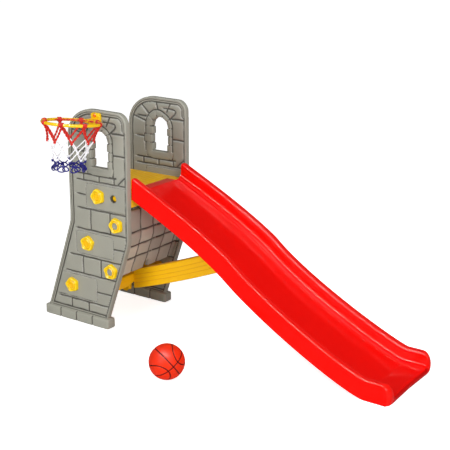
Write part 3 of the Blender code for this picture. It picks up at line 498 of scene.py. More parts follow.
# Rubbed wear and a painted highlight, where the Edges mask marks the edges.
rub_and_highlight = maths(tone, "MULTIPLY", t_in.outputs["Edges"],
            maths(tone, "SUBTRACT", maths(tone, "MULTIPLY", fleck, 2.4), 0.5), True)
tone.links.new(blend_colours(tone, rub_and_highlight, dusted_and_shaded, t_in.outputs["Rubbed"]),
               t_out.inputs["Color"])
rough = maths(tone, "ADD", t_in.outputs["Roughness"],
              maths(tone, "ADD", maths(tone, "MULTIPLY", dust_and_shade, 0.2), shift))
tone.links.new(rough, t_out.inputs["Roughness"])
print("uneven tone has", len(tone.nodes), "nodes")

# %% [markdown]
# A finish takes the two groups and sets its own colours and depths. The masks are
# numbers stored on the points of a mesh when its shape is worked out, because
# that is where a groove's depth is known exactly.

# %% One function for every plastic
def plastic(name, base, dusty, rubbed, roughness, unevenness=0.12, flecks=0.06,
            fine=(0.0012, 0.00003), wave=(0.05, 0.0001), coat=0.0, shine=0.35):
    """A moulded plastic: a Principled shader fed by the grain and tone groups."""
    mat, tree, shader = new_material(name, base, Specular_IOR_Level=shine,
                                     Coat_Weight=coat, Coat_Roughness=0.07,
                                     Coat_IOR=1.4)
    surface = add(tree, "ShaderNodeGroup", {"node_tree": grain}, Fine_Size=fine[0],
                  Fine_Depth=fine[1], Wave_Size=wave[0], Wave_Depth=wave[1])
    lows, highs, tints = (
        add(tree, "ShaderNodeAttribute", {"attribute_name": label}).outputs["Fac"]
        for label in ("groove", "edge", "tint"))
    # The second colour is for dust and painted shade in the low places, the third for
    # rubbed wear and painted highlights on the edges.
    colour = add(tree, "ShaderNodeGroup", {"node_tree": tone}, Base=(*base, 1),
                 Dusty=(*dusty, 1), Rubbed=(*rubbed, 1), Unevenness=unevenness,
                 Flecks=flecks, Low_Places=lows, Edges=highs, Tint=tints,
                 Roughness=roughness)
    tree.links.new(colour.outputs["Color"], shader.inputs["Base Color"])
    tree.links.new(colour.outputs["Roughness"], shader.inputs["Roughness"])
    tree.links.new(surface.outputs["Normal"], shader.inputs["Normal"])
    return mat


# %% [markdown]
# The five colours follow the real tower: grey walls, orange-yellow trays, a glossy
# red chute, lemon star nuts and an orange bolt. The wall under the platform is the
# same grey plastic, but its base is paler as painted light, to make up for the
# shade it stands in, and its grooves take darker painted shade and dust. The hoop
# has a yellow between those of the trays and the nuts. Sizes and depths are in
# metres.

# %% The plastics
stone_grey = plastic("stone_grey", (0.345, 0.340, 0.285), (0.050, 0.046, 0.037),
                     (0.64, 0.63, 0.57), 0.56, 0.16, 0.16, (0.0014, 0.00012),
                     (0.03, 0.0006), shine=0.3)
# A paler copy of the panel grey: painted light against the shade under the platform.
wall_stone_brightened = plastic("wall_stone_brightened", (0.500, 0.470, 0.390), (0.022, 0.016, 0.012),
                     (0.42, 0.37, 0.31), 0.6, 0.24, 0.2, (0.0014, 0.00012),
                     (0.03, 0.0006), shine=0.25)
tray_orange = plastic("tray_orange", (1.0, 0.56, 0.005), (0.62, 0.20, 0.004),
                      (0.98, 0.62, 0.05), 0.36, 0.1, 0.05, wave=(0.06, 0.0003),
                      shine=0.25)
chute_red = plastic("chute_red", (0.93, 0.003, 0.001), (0.42, 0.002, 0.001),
                    (0.95, 0.03, 0.02), 0.26, 0.06, 0.03, (0.0022, 0.00002),
                    (0.09, 0.0005), coat=0.5, shine=0.04)
star_yellow = plastic("star_yellow", (0.98, 0.66, 0.006), (0.80, 0.36, 0.004),
                      (1.0, 0.80, 0.08), 0.3, 0.08, 0.04, coat=0.25, shine=0.25)
hoop_yellow = plastic("hoop_yellow", (0.97, 0.60, 0.008), (0.7, 0.33, 0.005),
                      (1.0, 0.78, 0.08), 0.28, 0.08, 0.04, coat=0.25, shine=0.25)
bolt_orange = plastic("bolt_orange", (0.86, 0.2, 0.012), (0.45, 0.08, 0.01),
                      (0.95, 0.4, 0.05), 0.34, 0.08, 0.04)
print("plastics ready")

# %% [markdown]
# ## Side panels
# Each panel is a hollow moulded board that looks like a castle wall: flat stones
# with soft grooves between them. Cutting every groove as its own solid would take
# hours, so the wall is a height field instead. The grooves are drawn as lines,
# and the depth at a point depends only on how far the nearest line is.

# %% The panel's outline
PANEL_WIDTH = 0.318
BOARD_LOW = 0.036
FRONT_ROUND = 0.050
FRONT_ROUND_Z = 0.893
SHOULDER_LOW = 0.820
SHOULDER_REACH = 0.140
SHOULDER_RISE = 0.125
BEND = 0.400
LEAN_ANGLE = math.radians(19.4)
LEAN = math.tan(LEAN_ANGLE)
BEND_BACK = BEND + PANEL_WIDTH * math.tan(LEAN_ANGLE / 2)
RIM = 0.0195
RIM_FRONT = 0.008
INSIDE = 0.187
OUTSIDE = 0.213


def lean(z, bend=BEND, ease=0.010):
    """Setback of the lower half: the height below the bend times the slope."""
    below = bend - np.asarray(z, float)
    return 0.5 * (below + np.sqrt(below * below + ease * ease)) * LEAN


def panel_line():
    """Up the front edge, round the top corners and down the back, evenly spaced."""
    z = np.linspace(BOARD_LOW, FRONT_ROUND_Z - 0.008, 60)
    front = np.stack([-lean(z), z], -1)
    over = np.concatenate([
        arc(-FRONT_ROUND, FRONT_ROUND_Z, FRONT_ROUND, FRONT_ROUND, 0, 90),
        arc(SHOULDER_REACH - PANEL_WIDTH, SHOULDER_LOW, SHOULDER_REACH, SHOULDER_RISE,
            90, 180, 40)])
    z = np.linspace(SHOULDER_LOW - 0.010, BOARD_LOW, 60)
    back = np.stack([-PANEL_WIDTH - lean(z, BEND_BACK), z], -1)
    return spaced(np.concatenate([front, over, back]), 0.004, closed=True)


def back_edge(z):
    """X of the board's back edge at a height, round the shoulder at its top."""
    up = np.clip((np.asarray(z, float) - SHOULDER_LOW) / SHOULDER_RISE, 0, 1)
    round_in = SHOULDER_REACH * (1 - np.sqrt(1 - up * up))
    return round_in - PANEL_WIDTH - lean(z, BEND_BACK)


def rim_width(line):
    """Wide round the back and the top, narrow down the front edge."""
    on_front = line[:, 0] + lean(line[:, 1]) > -0.006
    wide = smooth((line[:, 1] - 0.866) / 0.006)
    return np.where(on_front, RIM_FRONT + (RIM - RIM_FRONT) * wide, RIM)


OUTLINE = panel_line()
RIM_LINE = OUTLINE + left_of(OUTLINE) * (rim_width(OUTLINE) + 0.0012)[:, None]
print("panel outline", len(OUTLINE), "points")

# %% [markdown]
# The stone courses are read off the real wall from the bottom up. Three broad
# plates carry the studs, and their inner ends are rounded. The other courses have
# short upright joints that never line up with those above and below. Each point of
# a line carries a third number, the hold, that is added to every distance from it:
# a held line is a shallower groove, and a growing hold lets a groove fade out.

# %% Lines with a hold
COURSES = (0.098, 0.224, 0.305, 0.428, 0.519, 0.642)
LINE_STEP = 0.0015
FAINT = 0.0030
FADE = 0.0051
OFF_RIM = 0.0125
PAST_EDGE = 0.02


def held(line, hold=0.0):
    """The points of a line with the hold as their third number."""
    return np.column_stack([line, np.broadcast_to(hold, len(line))])


def run(*points, hold=0.0):
    """A drawn line as evenly spaced points with one hold."""
    return held(spaced(points, LINE_STEP), hold)


def course(z, x1=PAST_EDGE):
    """A level joint that fades in a little way off the rim at the back."""
    start = float(back_edge(z)) + RIM + OFF_RIM
    line = spaced([(start, z), (x1, z)], LINE_STEP)
    return held(line, FADE * (1 - smooth((line[:, 0] - start) / 0.020)))


def rounded_plate(x1, z0, z1, r):
    """A plate from the back rim to a right-hand end with rounded corners."""
    off = RIM + OFF_RIM + 0.0015
    return spaced(np.concatenate([[(back_edge(z0) + off, z0)],
                                  arc(x1 - r, z0 + r, r, r, -90, 0, 9),
                                  arc(x1 - r, z1 - r, r, r, 0, 90, 9),
                                  [(back_edge(z1) + off, z1)]]), LINE_STEP)


print("the lowest course has", len(course(COURSES[0])), "points")

# %% [markdown]
# The window is an upright box with a half circle on top, and a ring of cut stones
# stands round it. The joints of the ring are marked on the opening's line. How
# far a point is from the nearest mark gives the dip between two stones, and the
# number of marks before it tells the odd stones from the even ones.

# %% The window and its ring of stones
WINDOW_X = -0.1415
WINDOW_HALF = 0.0445
WINDOW_LOW = 0.705
WINDOW_SPRING = 0.8135
STONE = 0.034
JAMB = 0.021
TOOTH_WIDE = 0.008
TOOTH_OUT = 0.0045


def window_line(grow=0.0, step=LINE_STEP):
    """The arched opening: sill, one jamb, the half circle and the other jamb."""
    half = WINDOW_HALF + grow
    low = WINDOW_LOW - grow
    line = np.concatenate([[(WINDOW_X - half, low), (WINDOW_X + half, low)],
                           arc(WINDOW_X, WINDOW_SPRING, half, half, 0, 180, 60)])
    return spaced(line, step, closed=True)


def window_stones():
    """The opening's line, its joints' closeness, and each stone's two reaches.

    Stones are numbered along the line; on the jambs every second one stands out
    into the opening, and on the back jamb every second one is wider outside.
    """
    step = 0.0012
    line = window_line(0.0, step)[::-1]
    rise = WINDOW_SPRING - WINDOW_LOW
    marks = [(WINDOW_X + sx * WINDOW_HALF, WINDOW_LOW + rise * t)
             for t in (0.32, 0.66, 1.0) for sx in (-1, 1)]
    marks += list(arc(WINDOW_X, WINDOW_SPRING, WINDOW_HALF, WINDOW_HALF, 36, 144, 4))
    along = np.unique([np.argmin(np.hypot(*(line - m).T)) for m in marks])
    number = np.searchsorted(along, np.arange(len(line)))
    gap = np.abs((np.arange(len(line))[:, None] - along[None] + len(line) / 2)
                 % len(line) - len(line) / 2).min(1) * step
    jamb = (line[:, 1] > WINDOW_LOW + 0.004) & (line[:, 1] < WINDOW_SPRING - 0.002)
    front = smooth((line[:, 0] - WINDOW_X) / 0.040 + 0.5)
    width = STONE + (JAMB - STONE) * front * smooth((line[:, 1] - WINDOW_LOW) / 0.003)
    toothed = jamb & (line[:, 0] < WINDOW_X)
    width = width + TOOTH_WIDE * smooth(gap / 0.003) * (number % 2) * toothed
    tooth = TOOTH_OUT * smooth(gap / 0.0022) * ((number + 1) % 2) * jamb
    return line, gap, tooth, width


ring_line, ring_gap, ring_tooth, ring_width = window_stones()
print("window stones follow", len(ring_line), "points")

# %% [markdown]
# Now every joint can be drawn. Most are straight, the three plates have rounded
# ends, and above the window the joints fan out from the arch. The outline of the
# window's ring and of the rim are joints too, because a groove runs along both.

# %% Draw every joint
drawn = [course(z) for z in COURSES]
for x, z0, z1 in ((-0.327, 0.03, 0.098), (-0.229, 0.03, 0.098),
                  (-0.254, 0.224, 0.305), (-0.154, 0.224, 0.305),
                  (-0.203, 0.428, 0.519), (-0.097, 0.428, 0.519),
                  (-0.236, 0.642, 0.671), (-0.151, 0.642, 0.671),
                  (-0.070, 0.642, 0.671)):
    drawn.append(run((x, z0), (x, z1)))
drawn.append(held(rounded_plate(-0.178, 0.108, 0.214, 0.016), FAINT))
drawn.append(held(spaced(soft_box(-0.287, -0.080, 0.316, 0.416, 0.014), LINE_STEP,
                         closed=True), FAINT))
drawn.append(run((-0.178, 0.155), (PAST_EDGE, 0.155)))
drawn.append(run((-0.080, 0.365), (PAST_EDGE, 0.365)))
drawn.append(course(0.580, -0.231))
drawn.append(held(spaced(eased([(PAST_EDGE, 0.633), (-0.212, 0.633), (-0.224, 0.625),
                                (-0.224, 0.530), (-0.216, 0.526),
                                (PAST_EDGE, 0.526)], 2), LINE_STEP), FAINT))
drawn.append(course(0.671, -0.060))
drawn.append(run((-0.048, 0.648), (PAST_EDGE, 0.711)))
for z in (0.765, 0.856):
    drawn.append(course(z, WINDOW_X - WINDOW_HALF - STONE))
    drawn.append(run((WINDOW_X + WINDOW_HALF + JAMB, z), (PAST_EDGE, z)))
centre = np.array([WINDOW_X, WINDOW_SPRING])
for a in np.radians((62, 100, 138, 165)):
    out = np.array([math.cos(a), math.sin(a)])
    drawn.append(run(centre + out * (WINDOW_HALF + STONE), centre + out * 0.19))
drawn.append(held(spaced(eased([(-0.122, 0.898), (-0.068, 0.898), (-0.057, 0.890),
                                (-0.057, 0.880), (-0.084, 0.856)], 2), LINE_STEP)))
BESIDE_RING = 0.0015
ring_out = ring_line + left_of(ring_line) * (ring_width + BESIDE_RING)[:, None]
front_x = WINDOW_X + WINDOW_HALF + JAMB + BESIDE_RING
sill_z = WINDOW_LOW - STONE - BESIDE_RING
corner_x = WINDOW_X + WINDOW_HALF - 0.006
at_corner = (ring_out[:, 0] > corner_x) & (ring_out[:, 1] < WINDOW_LOW + 0.004)
drawn.append(held(ring_out[~at_corner]))
drawn.append(run((front_x, WINDOW_LOW + 0.006), (front_x, sill_z), (corner_x, sill_z)))
drawn.append(held(spaced(RIM_LINE, LINE_STEP, closed=True)))
JOINTS = np.concatenate(drawn)
print("joint lines", len(drawn), "with", len(JOINTS), "points")

# %% [markdown]
# The grid has a line every few millimetres and closer ones beside each straight
# joint. Cells outside the board, in the window and round the peg's hole are left
# out. Their ragged border is never seen, because the rim, the window's own stones
# and a flush ring cover it. Under the rim the field sinks out of the way.

# %% Distances and depths
GROOVE_FLOOR = 0.0028
GROOVE_SHOULDER = 0.0067
GROOVE_DEPTH = 0.0048


def crowded(low, high, joints, step=0.0034, near=(-0.0067, -0.0048, -0.0028,
                                                 0.0, 0.0028, 0.0048, 0.0067)):
    """Grid lines an even step apart, with more of them beside each joint."""
    lines = np.concatenate([np.arange(low, high + step, step)]
                           + [np.array(near) + j for j in joints])
    lines = np.unique(lines.round(5))
    wide = np.concatenate([[True], np.diff(lines) > 0.0007])
    return lines[wide]


def nearest(points, line, chunk=3000):
    """Smallest distance plus hold from each point to a line, in batches."""
    found = np.empty(len(points))
    for k in range(0, len(points), chunk):
        gap = points[k:k + chunk, None, :] - line[None, :, :2]
        found[k:k + chunk] = (np.sqrt((gap * gap).sum(-1)) + line[None, :, 2]).min(1)
    return found


def joint_depth(distance, floor=GROOVE_FLOOR, shoulder=GROOVE_SHOULDER):
    """1 on the groove's floor, falling smoothly to 0 at its shoulder."""
    return 1 - smooth((distance - floor) / (shoulder - floor))


print("groove", GROOVE_DEPTH, "m deep, half as deep",
      (GROOVE_FLOOR + GROOVE_SHOULDER) / 2, "m from its line")

# %% [markdown]
# A real joint is never ruled straight, so the points are shifted by a slow wave of
# half a millimetre before their distance is taken. The stones are also a little
# crowned, higher in the middle than beside a groove, and slightly rough.

# %% The field of stones
PEG = np.array([-0.074, 0.584])
PEG_HOLE = 0.0174
columns = crowded(-0.475, 0.001, (-0.327, -0.229, -0.254, -0.154, -0.203, -0.097,
                                  -0.236, -0.151, -0.070, -0.178, -0.080, -0.224,
                                  -0.287))
courses_z = crowded(0.030, 0.946, COURSES + (0.155, 0.365, 0.580, 0.671, 0.765, 0.856,
                                             0.108, 0.214, 0.316, 0.416, 0.526, 0.633))
FIELD_X, FIELD_Z = np.meshgrid(columns, courses_z)
flat = np.stack([FIELD_X.ravel(), FIELD_Z.ravel()], -1)
wobble = 0.0005 * np.stack([np.sin(flat[:, 1] * 97) + np.sin(flat[:, 0] * 61 + 1),
                            np.sin(flat[:, 0] * 83 + 2) + np.sin(flat[:, 1] * 47)], -1)
to_joint = nearest(flat + wobble, JOINTS)
to_edge = nearest(flat, held(OUTLINE))
JOINT = joint_depth(to_joint).reshape(FIELD_X.shape)
CROWN = (0.0012 * (1 - np.exp(-to_joint / 0.010))).reshape(FIELD_X.shape)
ROUGH_CUT = 0.00035 * (np.sin(FIELD_X * 71 + np.sin(FIELD_Z * 53) * 2)
                       * np.sin(FIELD_Z * 89 + np.sin(FIELD_X * 37) * 2))


print("field of", FIELD_X.size, "points")

# %% [markdown]
# Which cells belong to the board is a question of inside or outside. A ray drawn
# sideways from a point crosses a closed line an odd number of times if the point
# is inside it, and that holds for the outline, the window and the rim alike.

# %% Cells to keep
def inside_line(points, line):
    """True where a ray from the point crosses the closed line an odd number of times."""
    x, z = points[:, 0], points[:, 1]
    hits = np.zeros(len(points), int)
    for (xa, za), (xb, zb) in zip(line, np.roll(line, -1, 0)):
        if za != zb:
            crossing = xa + (z - za) * (xb - xa) / (zb - za)
            hits += ((za > z) != (zb > z)) & (x < crossing)
    return hits % 2 == 1


def cells(mask):
    """A cell is kept when all four of its corners are."""
    return mask[:-1, :-1] & mask[1:, :-1] & mask[1:, 1:] & mask[:-1, 1:]


on_board = (inside_line(flat, OUTLINE) & (to_edge > 0.004)).reshape(FIELD_X.shape)
opening = window_line(0.010, 0.004)
in_window = inside_line(flat, opening).reshape(FIELD_X.shape)
in_hole = np.hypot(FIELD_X - PEG[0], FIELD_Z - PEG[1]) < PEG_HOLE
KEEP = cells(on_board & ~in_window & ~in_hole)
UNDER_RIM = ~inside_line(flat, RIM_LINE).reshape(FIELD_X.shape)
print("field of", KEEP.sum(), "cells on each face")

# %% [markdown]
# The rim and the stones round the window are profiles carried along a line. The
# rim is a rounded bead, a thin line and a lower step. The window's stones differ
# in width, and a few on the jambs stand out into the opening, as cut stones do.

# %% Rim and window stones
RIM_PROFILE = np.array([
    (0.0, 0.0046), (0.0004, 0.0027), (0.0013, 0.0013), (0.0027, 0.0004), (0.0046, 0.0),
    (0.0096, 0.0), (0.0102, 0.0007), (0.0106, 0.0026), (0.0124, 0.0026),
    (0.0129, 0.0011), (0.0142, 0.0006), (0.0168, 0.0007), (0.0178, 0.0014),
    (0.0185, 0.0032), (0.0188, 0.0060)])
RIM_SHADE = np.array([0, 0, 0, 0, 0, 0, 0.3, 1.0, 1.0, 0.3, 0, 0, 0.2, 0.8, 1.0])


def rim_patch():
    """The rim's (inset, depth) profile on both faces, scaled to its local width."""
    d = np.concatenate([RIM_PROFILE[:, 0], RIM_PROFILE[::-1, 0]])
    y = np.concatenate([OUTSIDE - RIM_PROFILE[:, 1], INSIDE + RIM_PROFILE[::-1, 1]])
    share = rim_width(OUTLINE) / RIM
    profile = np.stack([share[:, None] * d[None],
                        np.broadcast_to(y, (len(OUTLINE), len(y)))], -1)
    shade = np.concatenate([RIM_SHADE, RIM_SHADE[::-1]])
    return band(OUTLINE, profile), np.broadcast_to(shade, (len(OUTLINE), len(y)))


def window_patch():
    """Stones round the opening: a profile that dips at each joint."""
    dip = joint_depth(ring_gap, 0.0008, 0.0032)
    section = np.array([(0, -0.80), (0, 0.80), (0.03, 0.93), (0.10, 1.0), (0.5, 1.02),
                        (0.90, 1.0), (0.97, 0.93), (1.0, 0.80), (1.0, -0.80),
                        (0.97, -0.93), (0.90, -1.0), (0.5, -1.02), (0.10, -1.0),
                        (0.03, -0.93)])
    inner = -ring_tooth + 0.0016 * dip
    outer = ring_width - 0.001 - 0.0016 * dip
    half = (OUTSIDE - INSIDE) / 2 + 0.0017 - 0.0032 * dip
    d = inner[:, None] + (outer - inner)[:, None] * section[None, :, 0]
    y = (INSIDE + OUTSIDE) / 2 + half[:, None] * section[None, :, 1]
    grid = band(ring_line, np.stack([d, y], -1))
    return grid, np.broadcast_to(dip[:, None], grid.shape[:2])


print("rim profile of", len(RIM_PROFILE), "points on each face")

# %% [markdown]
# The foot is a rounded bar that draws in at three notches, so that it reads as
# four blocks. The peg's hole has a flush ring, turned on a lathe.

# %% Foot and peg ring
FOOT_TOP = 0.044
FOOT_PAST = 0.014
FOOT_END = 0.012
FOOT_IN, FOOT_OUT = 0.174, 0.225


def foot_patch():
    """The section along X, scaled by 1 less the inset over its half size."""
    x0 = -PANEL_WIDTH - lean(FOOT_TOP, BEND_BACK) - FOOT_PAST
    x1 = -lean(FOOT_TOP) + FOOT_PAST
    joints = x0 + (x1 - x0) * np.arange(1, 4) / 4
    to_end = FOOT_END * (1 - np.cos(np.linspace(0, 1.5, 9)))
    x = np.unique(np.concatenate([np.linspace(x0, x1, 90), x0 + to_end, x1 - to_end]
                                 + [j + np.linspace(-0.006, 0.006, 13) for j in joints]))
    gap = np.abs(x[:, None] - joints[None]).min(1)
    dip = joint_depth(gap, 0.0008, 0.0052)
    end = np.minimum(x - x0, x1 - x) / FOOT_END
    round_end = 1 - np.sqrt(np.clip(1 - (1 - np.clip(end, 0, 1)) ** 2, 0, 1))
    inset = 0.0046 * dip + 0.008 * round_end
    section = soft_box(FOOT_IN, FOOT_OUT, 0.0, FOOT_TOP, 0.0065, 5)
    centre = np.array([FOOT_IN + FOOT_OUT, FOOT_TOP]) / 2
    half = np.array([FOOT_OUT - FOOT_IN, FOOT_TOP]) / 2
    scale = 1 - inset[:, None, None] / half * np.array([1.0, 0.6])
    flat_ring = centre + (section[None] - centre) * scale
    grid = np.stack([np.broadcast_to(x[:, None], flat_ring.shape[:2]),
                     flat_ring[..., 0], flat_ring[..., 1]], -1)
    return grid, np.broadcast_to(dip[:, None], grid.shape[:2])


RING_PROFILE = [(0.0158, -0.008), (0.0158, -0.0006), (0.0163, 0.0003),
                (0.0180, 0.0007), (0.0208, 0.0006), (0.0216, -0.0004),
                (0.0216, -0.003)]
RING_SIDES = 40
HOLE_SHADE = np.tile([1.0, 1.0, 0.5, 0.0, 0.0, 0.0, 0.0], 2 * RING_SIDES)
print("foot has", len(foot_patch()[0]), "sections")

# %% [markdown]
# Both panels come from the same patches, one as drawn and one as its mirror
# image. The stones are separate from the rim, so each keeps its own edges.

# %% Lay the two panels
SUNK = 0.0050
SKIN = 0.0004
relief = SKIN + GROOVE_DEPTH * JOINT - CROWN - ROUGH_CUT
relief = np.where(UNDER_RIM, SUNK, relief)
stones = slab(np.stack([FIELD_X, OUTSIDE - relief, FIELD_Z], -1),
              np.stack([FIELD_X, INSIDE + relief, FIELD_Z], -1), KEEP)
both = np.concatenate([JOINT.ravel(), JOINT.ravel()])
rim, rim_shade = rim_patch()
window, window_shade = window_patch()
foot, foot_shade = foot_patch()
collars = [skin(lathe(RING_PROFILE, PEG, face_y, way, RING_SIDES), True, True)
           for face_y, way in ((OUTSIDE, 1), (INSIDE, -1))]
# The groove masks darken the joints and the window's and foot's dips with dust and
# painted shade, and the rim's thin line and the peg's hole with painted shade. The edge
# mask lightens the stones' shoulders, partly rubbed wear and partly a painted highlight.
PANEL_PIECES = (
    ("panel_stones", [stones], 60,
     {"groove": both, "edge": np.clip(4 * both * (1 - both), 0, 1) * 0.65}),
    ("panel_rim", [skin(rim, True, True)], 60, {"groove": rim_shade}),
    ("window_stones", [skin(window, True, True)], 50, {"groove": window_shade}),
    ("panel_foot", [capped(foot)], 50, {"groove": foot_shade}),
    ("peg_collars", collars, 40, {"groove": HOLE_SHADE}))
for where, side in (("near", -1), ("far", 1)):
    for label, patches, crease, values in PANEL_PIECES:
        piece(f"{where}_{label}", [flip_side(patch, side) for patch in patches],
              stone_grey, instead_of=[f"side_panel_{where}"],
              crease=crease, values=values)

# %% [markdown]
# ## Front wall
# Between the panels stands a lower wall of the same stones, set back a little and
# bent at the same height. It is the same height field on a bent sheet, and its
# bottom edge rises over the small arch at the middle.

# %% The wall between the panels
WALL_BACK = 0.024
WALL_LOW = 0.235
WALL_TOP = 0.528
WALL_COURSES = (0.308, 0.370, 0.4325)
WALL_JOINTS = (-0.0985, -0.013, 0.0725, 0.158)
WALL_STEP = 0.0035
CLEAR = 0.0004
ARCH_HALF = 0.011
ARCH_SIDE = 0.023


def wall_piece():
    """Rows follow the wall's height from its notched lower edge to its top."""
    half = INSIDE - CLEAR
    y = crowded(-half, half, WALL_JOINTS + (-ARCH_HALF, ARCH_HALF), WALL_STEP)
    y = y[(y > -half) & (y < half)]
    y = np.concatenate([[-half], y, [half]])
    arch = np.sqrt(np.clip(ARCH_HALF ** 2 - y * y, 0, None))
    low = WALL_LOW + np.where(np.abs(y) < ARCH_HALF, ARCH_SIDE + arch, 0.0)
    rows = crowded(WALL_LOW, WALL_TOP, WALL_COURSES, WALL_STEP) - WALL_LOW
    rows = np.clip(rows / (WALL_TOP - WALL_LOW), 0, 1)
    z = WALL_TOP - (1 - rows[:, None]) * (WALL_TOP - low)[None]
    yy = np.broadcast_to(y[None], z.shape)
    wob = 0.0012 * np.sin(z * 61 + yy * 23) + 0.0010 * np.sin(yy * 71 - z * 90)
    to_line = np.min([np.abs(z - c + wob) for c in WALL_COURSES]
                     + [np.abs(yy - c + wob) for c in WALL_JOINTS], axis=0)
    dip = joint_depth(to_line, 0.0022, 0.0058)
    stone = np.searchsorted(WALL_COURSES, z) * 5 + np.searchsorted(WALL_JOINTS, yy)
    tint = (0.13 * np.sin(stone * 4.1 + 0.6)).ravel()
    edge = smooth(np.minimum(half - np.abs(yy), np.minimum(WALL_TOP - z, 0.02)) / 0.004)
    face = 0.0044 * dip + 0.0030 * (1 - edge) - 0.0014 * (1 - np.exp(-to_line / 0.012))
    face = face - 0.0003 * np.sin(yy * 73 + z * 31) * np.sin(z * 91)
    x = -lean(z) - WALL_BACK - face
    behind = -lean(z) - WALL_BACK - 0.0135
    top = np.stack([x, yy, z], -1)
    under = np.stack([behind, yy, z], -1)
    # Dust and painted shade in the joints, rubbed wear and a faint painted highlight on
    # their shoulders, and a random tint for each stone.
    both = np.concatenate([dip.ravel(), np.zeros(dip.size)])
    piece("front_wall_stones", [slab(top, under)], wall_stone_brightened,
          instead_of=["front_wall"], crease=60,
          values={"groove": both, "edge": np.clip(4 * both * (1 - both), 0, 1) * 0.3,
                  "tint": np.concatenate([tint, tint])})


wall_piece()
FLANGE_FRONT = 0.010
FLANGE_REAR = 0.052
z = np.linspace(WALL_LOW + 0.004, WALL_TOP - 0.004, 30)
front = np.stack([-lean(z) - WALL_BACK - FLANGE_FRONT, z], -1)
rear = np.stack([-lean(z) - WALL_BACK - FLANGE_REAR, z], -1)[::-1]
flange = cut_plate(np.concatenate([front, rear]), 0.1807, INSIDE - 0.0005, 0.0015)
piece("wall_flanges", [flip_side(flange, side) for side in (-1, 1)], wall_stone_brightened,
      instead_of=["front_wall"])

# %% [markdown]
# ## Platform and steps
# The platform and the two steps are trays, open below. A tray is a stack of
# rounded rectangles: from the deck's underside down the inside of the skirt, round
# its lower edge, up the outside and over a round shoulder to the deck. The lower
# step has a small arch in its front skirt, beside the strut, and there the points
# of the skirt are simply lifted to the arch.

# %% Trays
TRAY_WALL = 0.004
TRAY_SHOULDER = 0.007
TRAY_FILLET = 0.006
TRAY_CORNER = 0.009


def round_rectangle(x0, x1, y0, y1, r, per_side=10, per_corner=5):
    """Corners as quarter circles and sides as even runs of points."""
    corners = corner_arcs(x0, x1, y0, y1, r, per_corner)
    parts = []
    for a, b in zip(corners, corners[1:] + corners[:1]):
        t = np.linspace(0, 1, per_side + 2)[1:-1, None]
        parts += [a, a[-1] + (b[0] - a[-1]) * t]
    return np.concatenate(parts)


def tray_patch(x0, x1, top, height, arch=None):
    """Rings (inset, depth below the deck) from its underside round the skirt.

    arch is the (half width, height) of a round notch in the front skirt: points
    of the skirt below the half ellipse are raised to it.
    """
    half = INSIDE - CLEAR
    middle = (x1 - x0) / 2 - 0.0002
    turn = np.radians(np.linspace(0, 90, 6))
    fillet = TRAY_FILLET * (1 - np.stack([np.sin(turn), np.cos(turn)], -1))
    round_over = TRAY_SHOULDER * (1 - np.stack([np.cos(turn), np.sin(turn)], -1))
    rings = np.concatenate([
        [(middle, TRAY_WALL), (TRAY_WALL + TRAY_FILLET, TRAY_WALL)],
        TRAY_WALL + fillet,
        [(TRAY_WALL, height - 0.0015), (TRAY_WALL - 0.0012, height),
         (0.0012, height), (0.0, height - 0.0015)],
        [(0.0, height * 0.42), (0.0009, height * 0.40),
         (0.0009, height * 0.36), (0.0, height * 0.34)],
        round_over,
        [(0.013, 0), (0.0145, 0.0012), (0.0165, 0.0012), (0.018, 0), (middle, 0)]])
    grid = []
    for inset, depth in rings:
        ring = round_rectangle(x0 + inset, x1 - inset, -half + inset, half - inset,
                               max(0.0001, TRAY_CORNER - min(inset, 0.0085)),
                               72 if arch else 10)
        grid.append(np.column_stack([ring, np.full(len(ring), top - depth)]))
    grid = np.array(grid)
    if arch:
        share = np.clip(1 - (grid[..., 1] / arch[0]) ** 2, 0, 1)
        edge = top - height + arch[1] * np.sqrt(share)
        at_front = (grid[..., 0] > x1 - TRAY_WALL - 0.0005) & (share > 0)
        grid[..., 2] = np.where(at_front, np.maximum(grid[..., 2], edge), grid[..., 2])
    return capped(grid)


def tread_patch(x0, x1, top, pitch=0.021):
    """Low ribs along Y that rise out of the deck and fade before its border."""
    side = INSIDE - 0.024
    x = np.linspace(x0 + 0.022, x1 - 0.022, int((x1 - x0) / 0.0026))
    y = np.linspace(-side, side, 60)
    xx, yy = np.meshgrid(x, y, indexing="ij")
    from_edge = np.minimum(side - np.abs(yy), np.minimum(xx - x[0], x[-1] - xx))
    phase = (xx - x[0]) / pitch % 1.0
    rib = smooth((0.34 - np.abs(phase - 0.5)) / 0.10)
    rise = (rib * 1.5 - 0.4) * smooth(from_edge / 0.005) - 0.4 * (from_edge < 0.0001)
    z = top + 0.001 * rise
    top_sheet = np.stack([xx, yy, z], -1)
    under = np.stack([xx, yy, np.full_like(xx, top - 0.002)], -1)
    return slab(top_sheet, under)


TRAYS = {"platform": (-0.312, -0.001, 0.605, 0.053, (-0.152, 0.584)),
         "step_upper": (-0.335, -0.103, 0.395, 0.050, (-0.217, 0.370)),
         "step_lower": (-0.410, -0.134, 0.196, 0.050, (-0.313, 0.165))}
ARCHES = {"step_lower": (0.045, 0.012)}
for label, (x0, x1, top, height, _) in TRAYS.items():
    for kind, patch in (("tray", tray_patch(x0, x1, top, height, ARCHES.get(label))),
                        ("tread", tread_patch(x0, x1, top))):
        piece(f"{label}_{kind}", [patch], tray_orange,
              instead_of=[label])

# %% [markdown]
# ## Chute
# The chute is one deep moulding. Its section is drawn once as a rounded line from
# the outer foot over the rail to the middle of the floor, and is then carried
# down a line of two Bezier curves. A second grid runs the wall's thickness below
# the first, so the underside is as real as the top.

# %% The chute's line
CHUTE_HALF = 0.185
CHUTE_END = 1.191
NOSE = 0.038


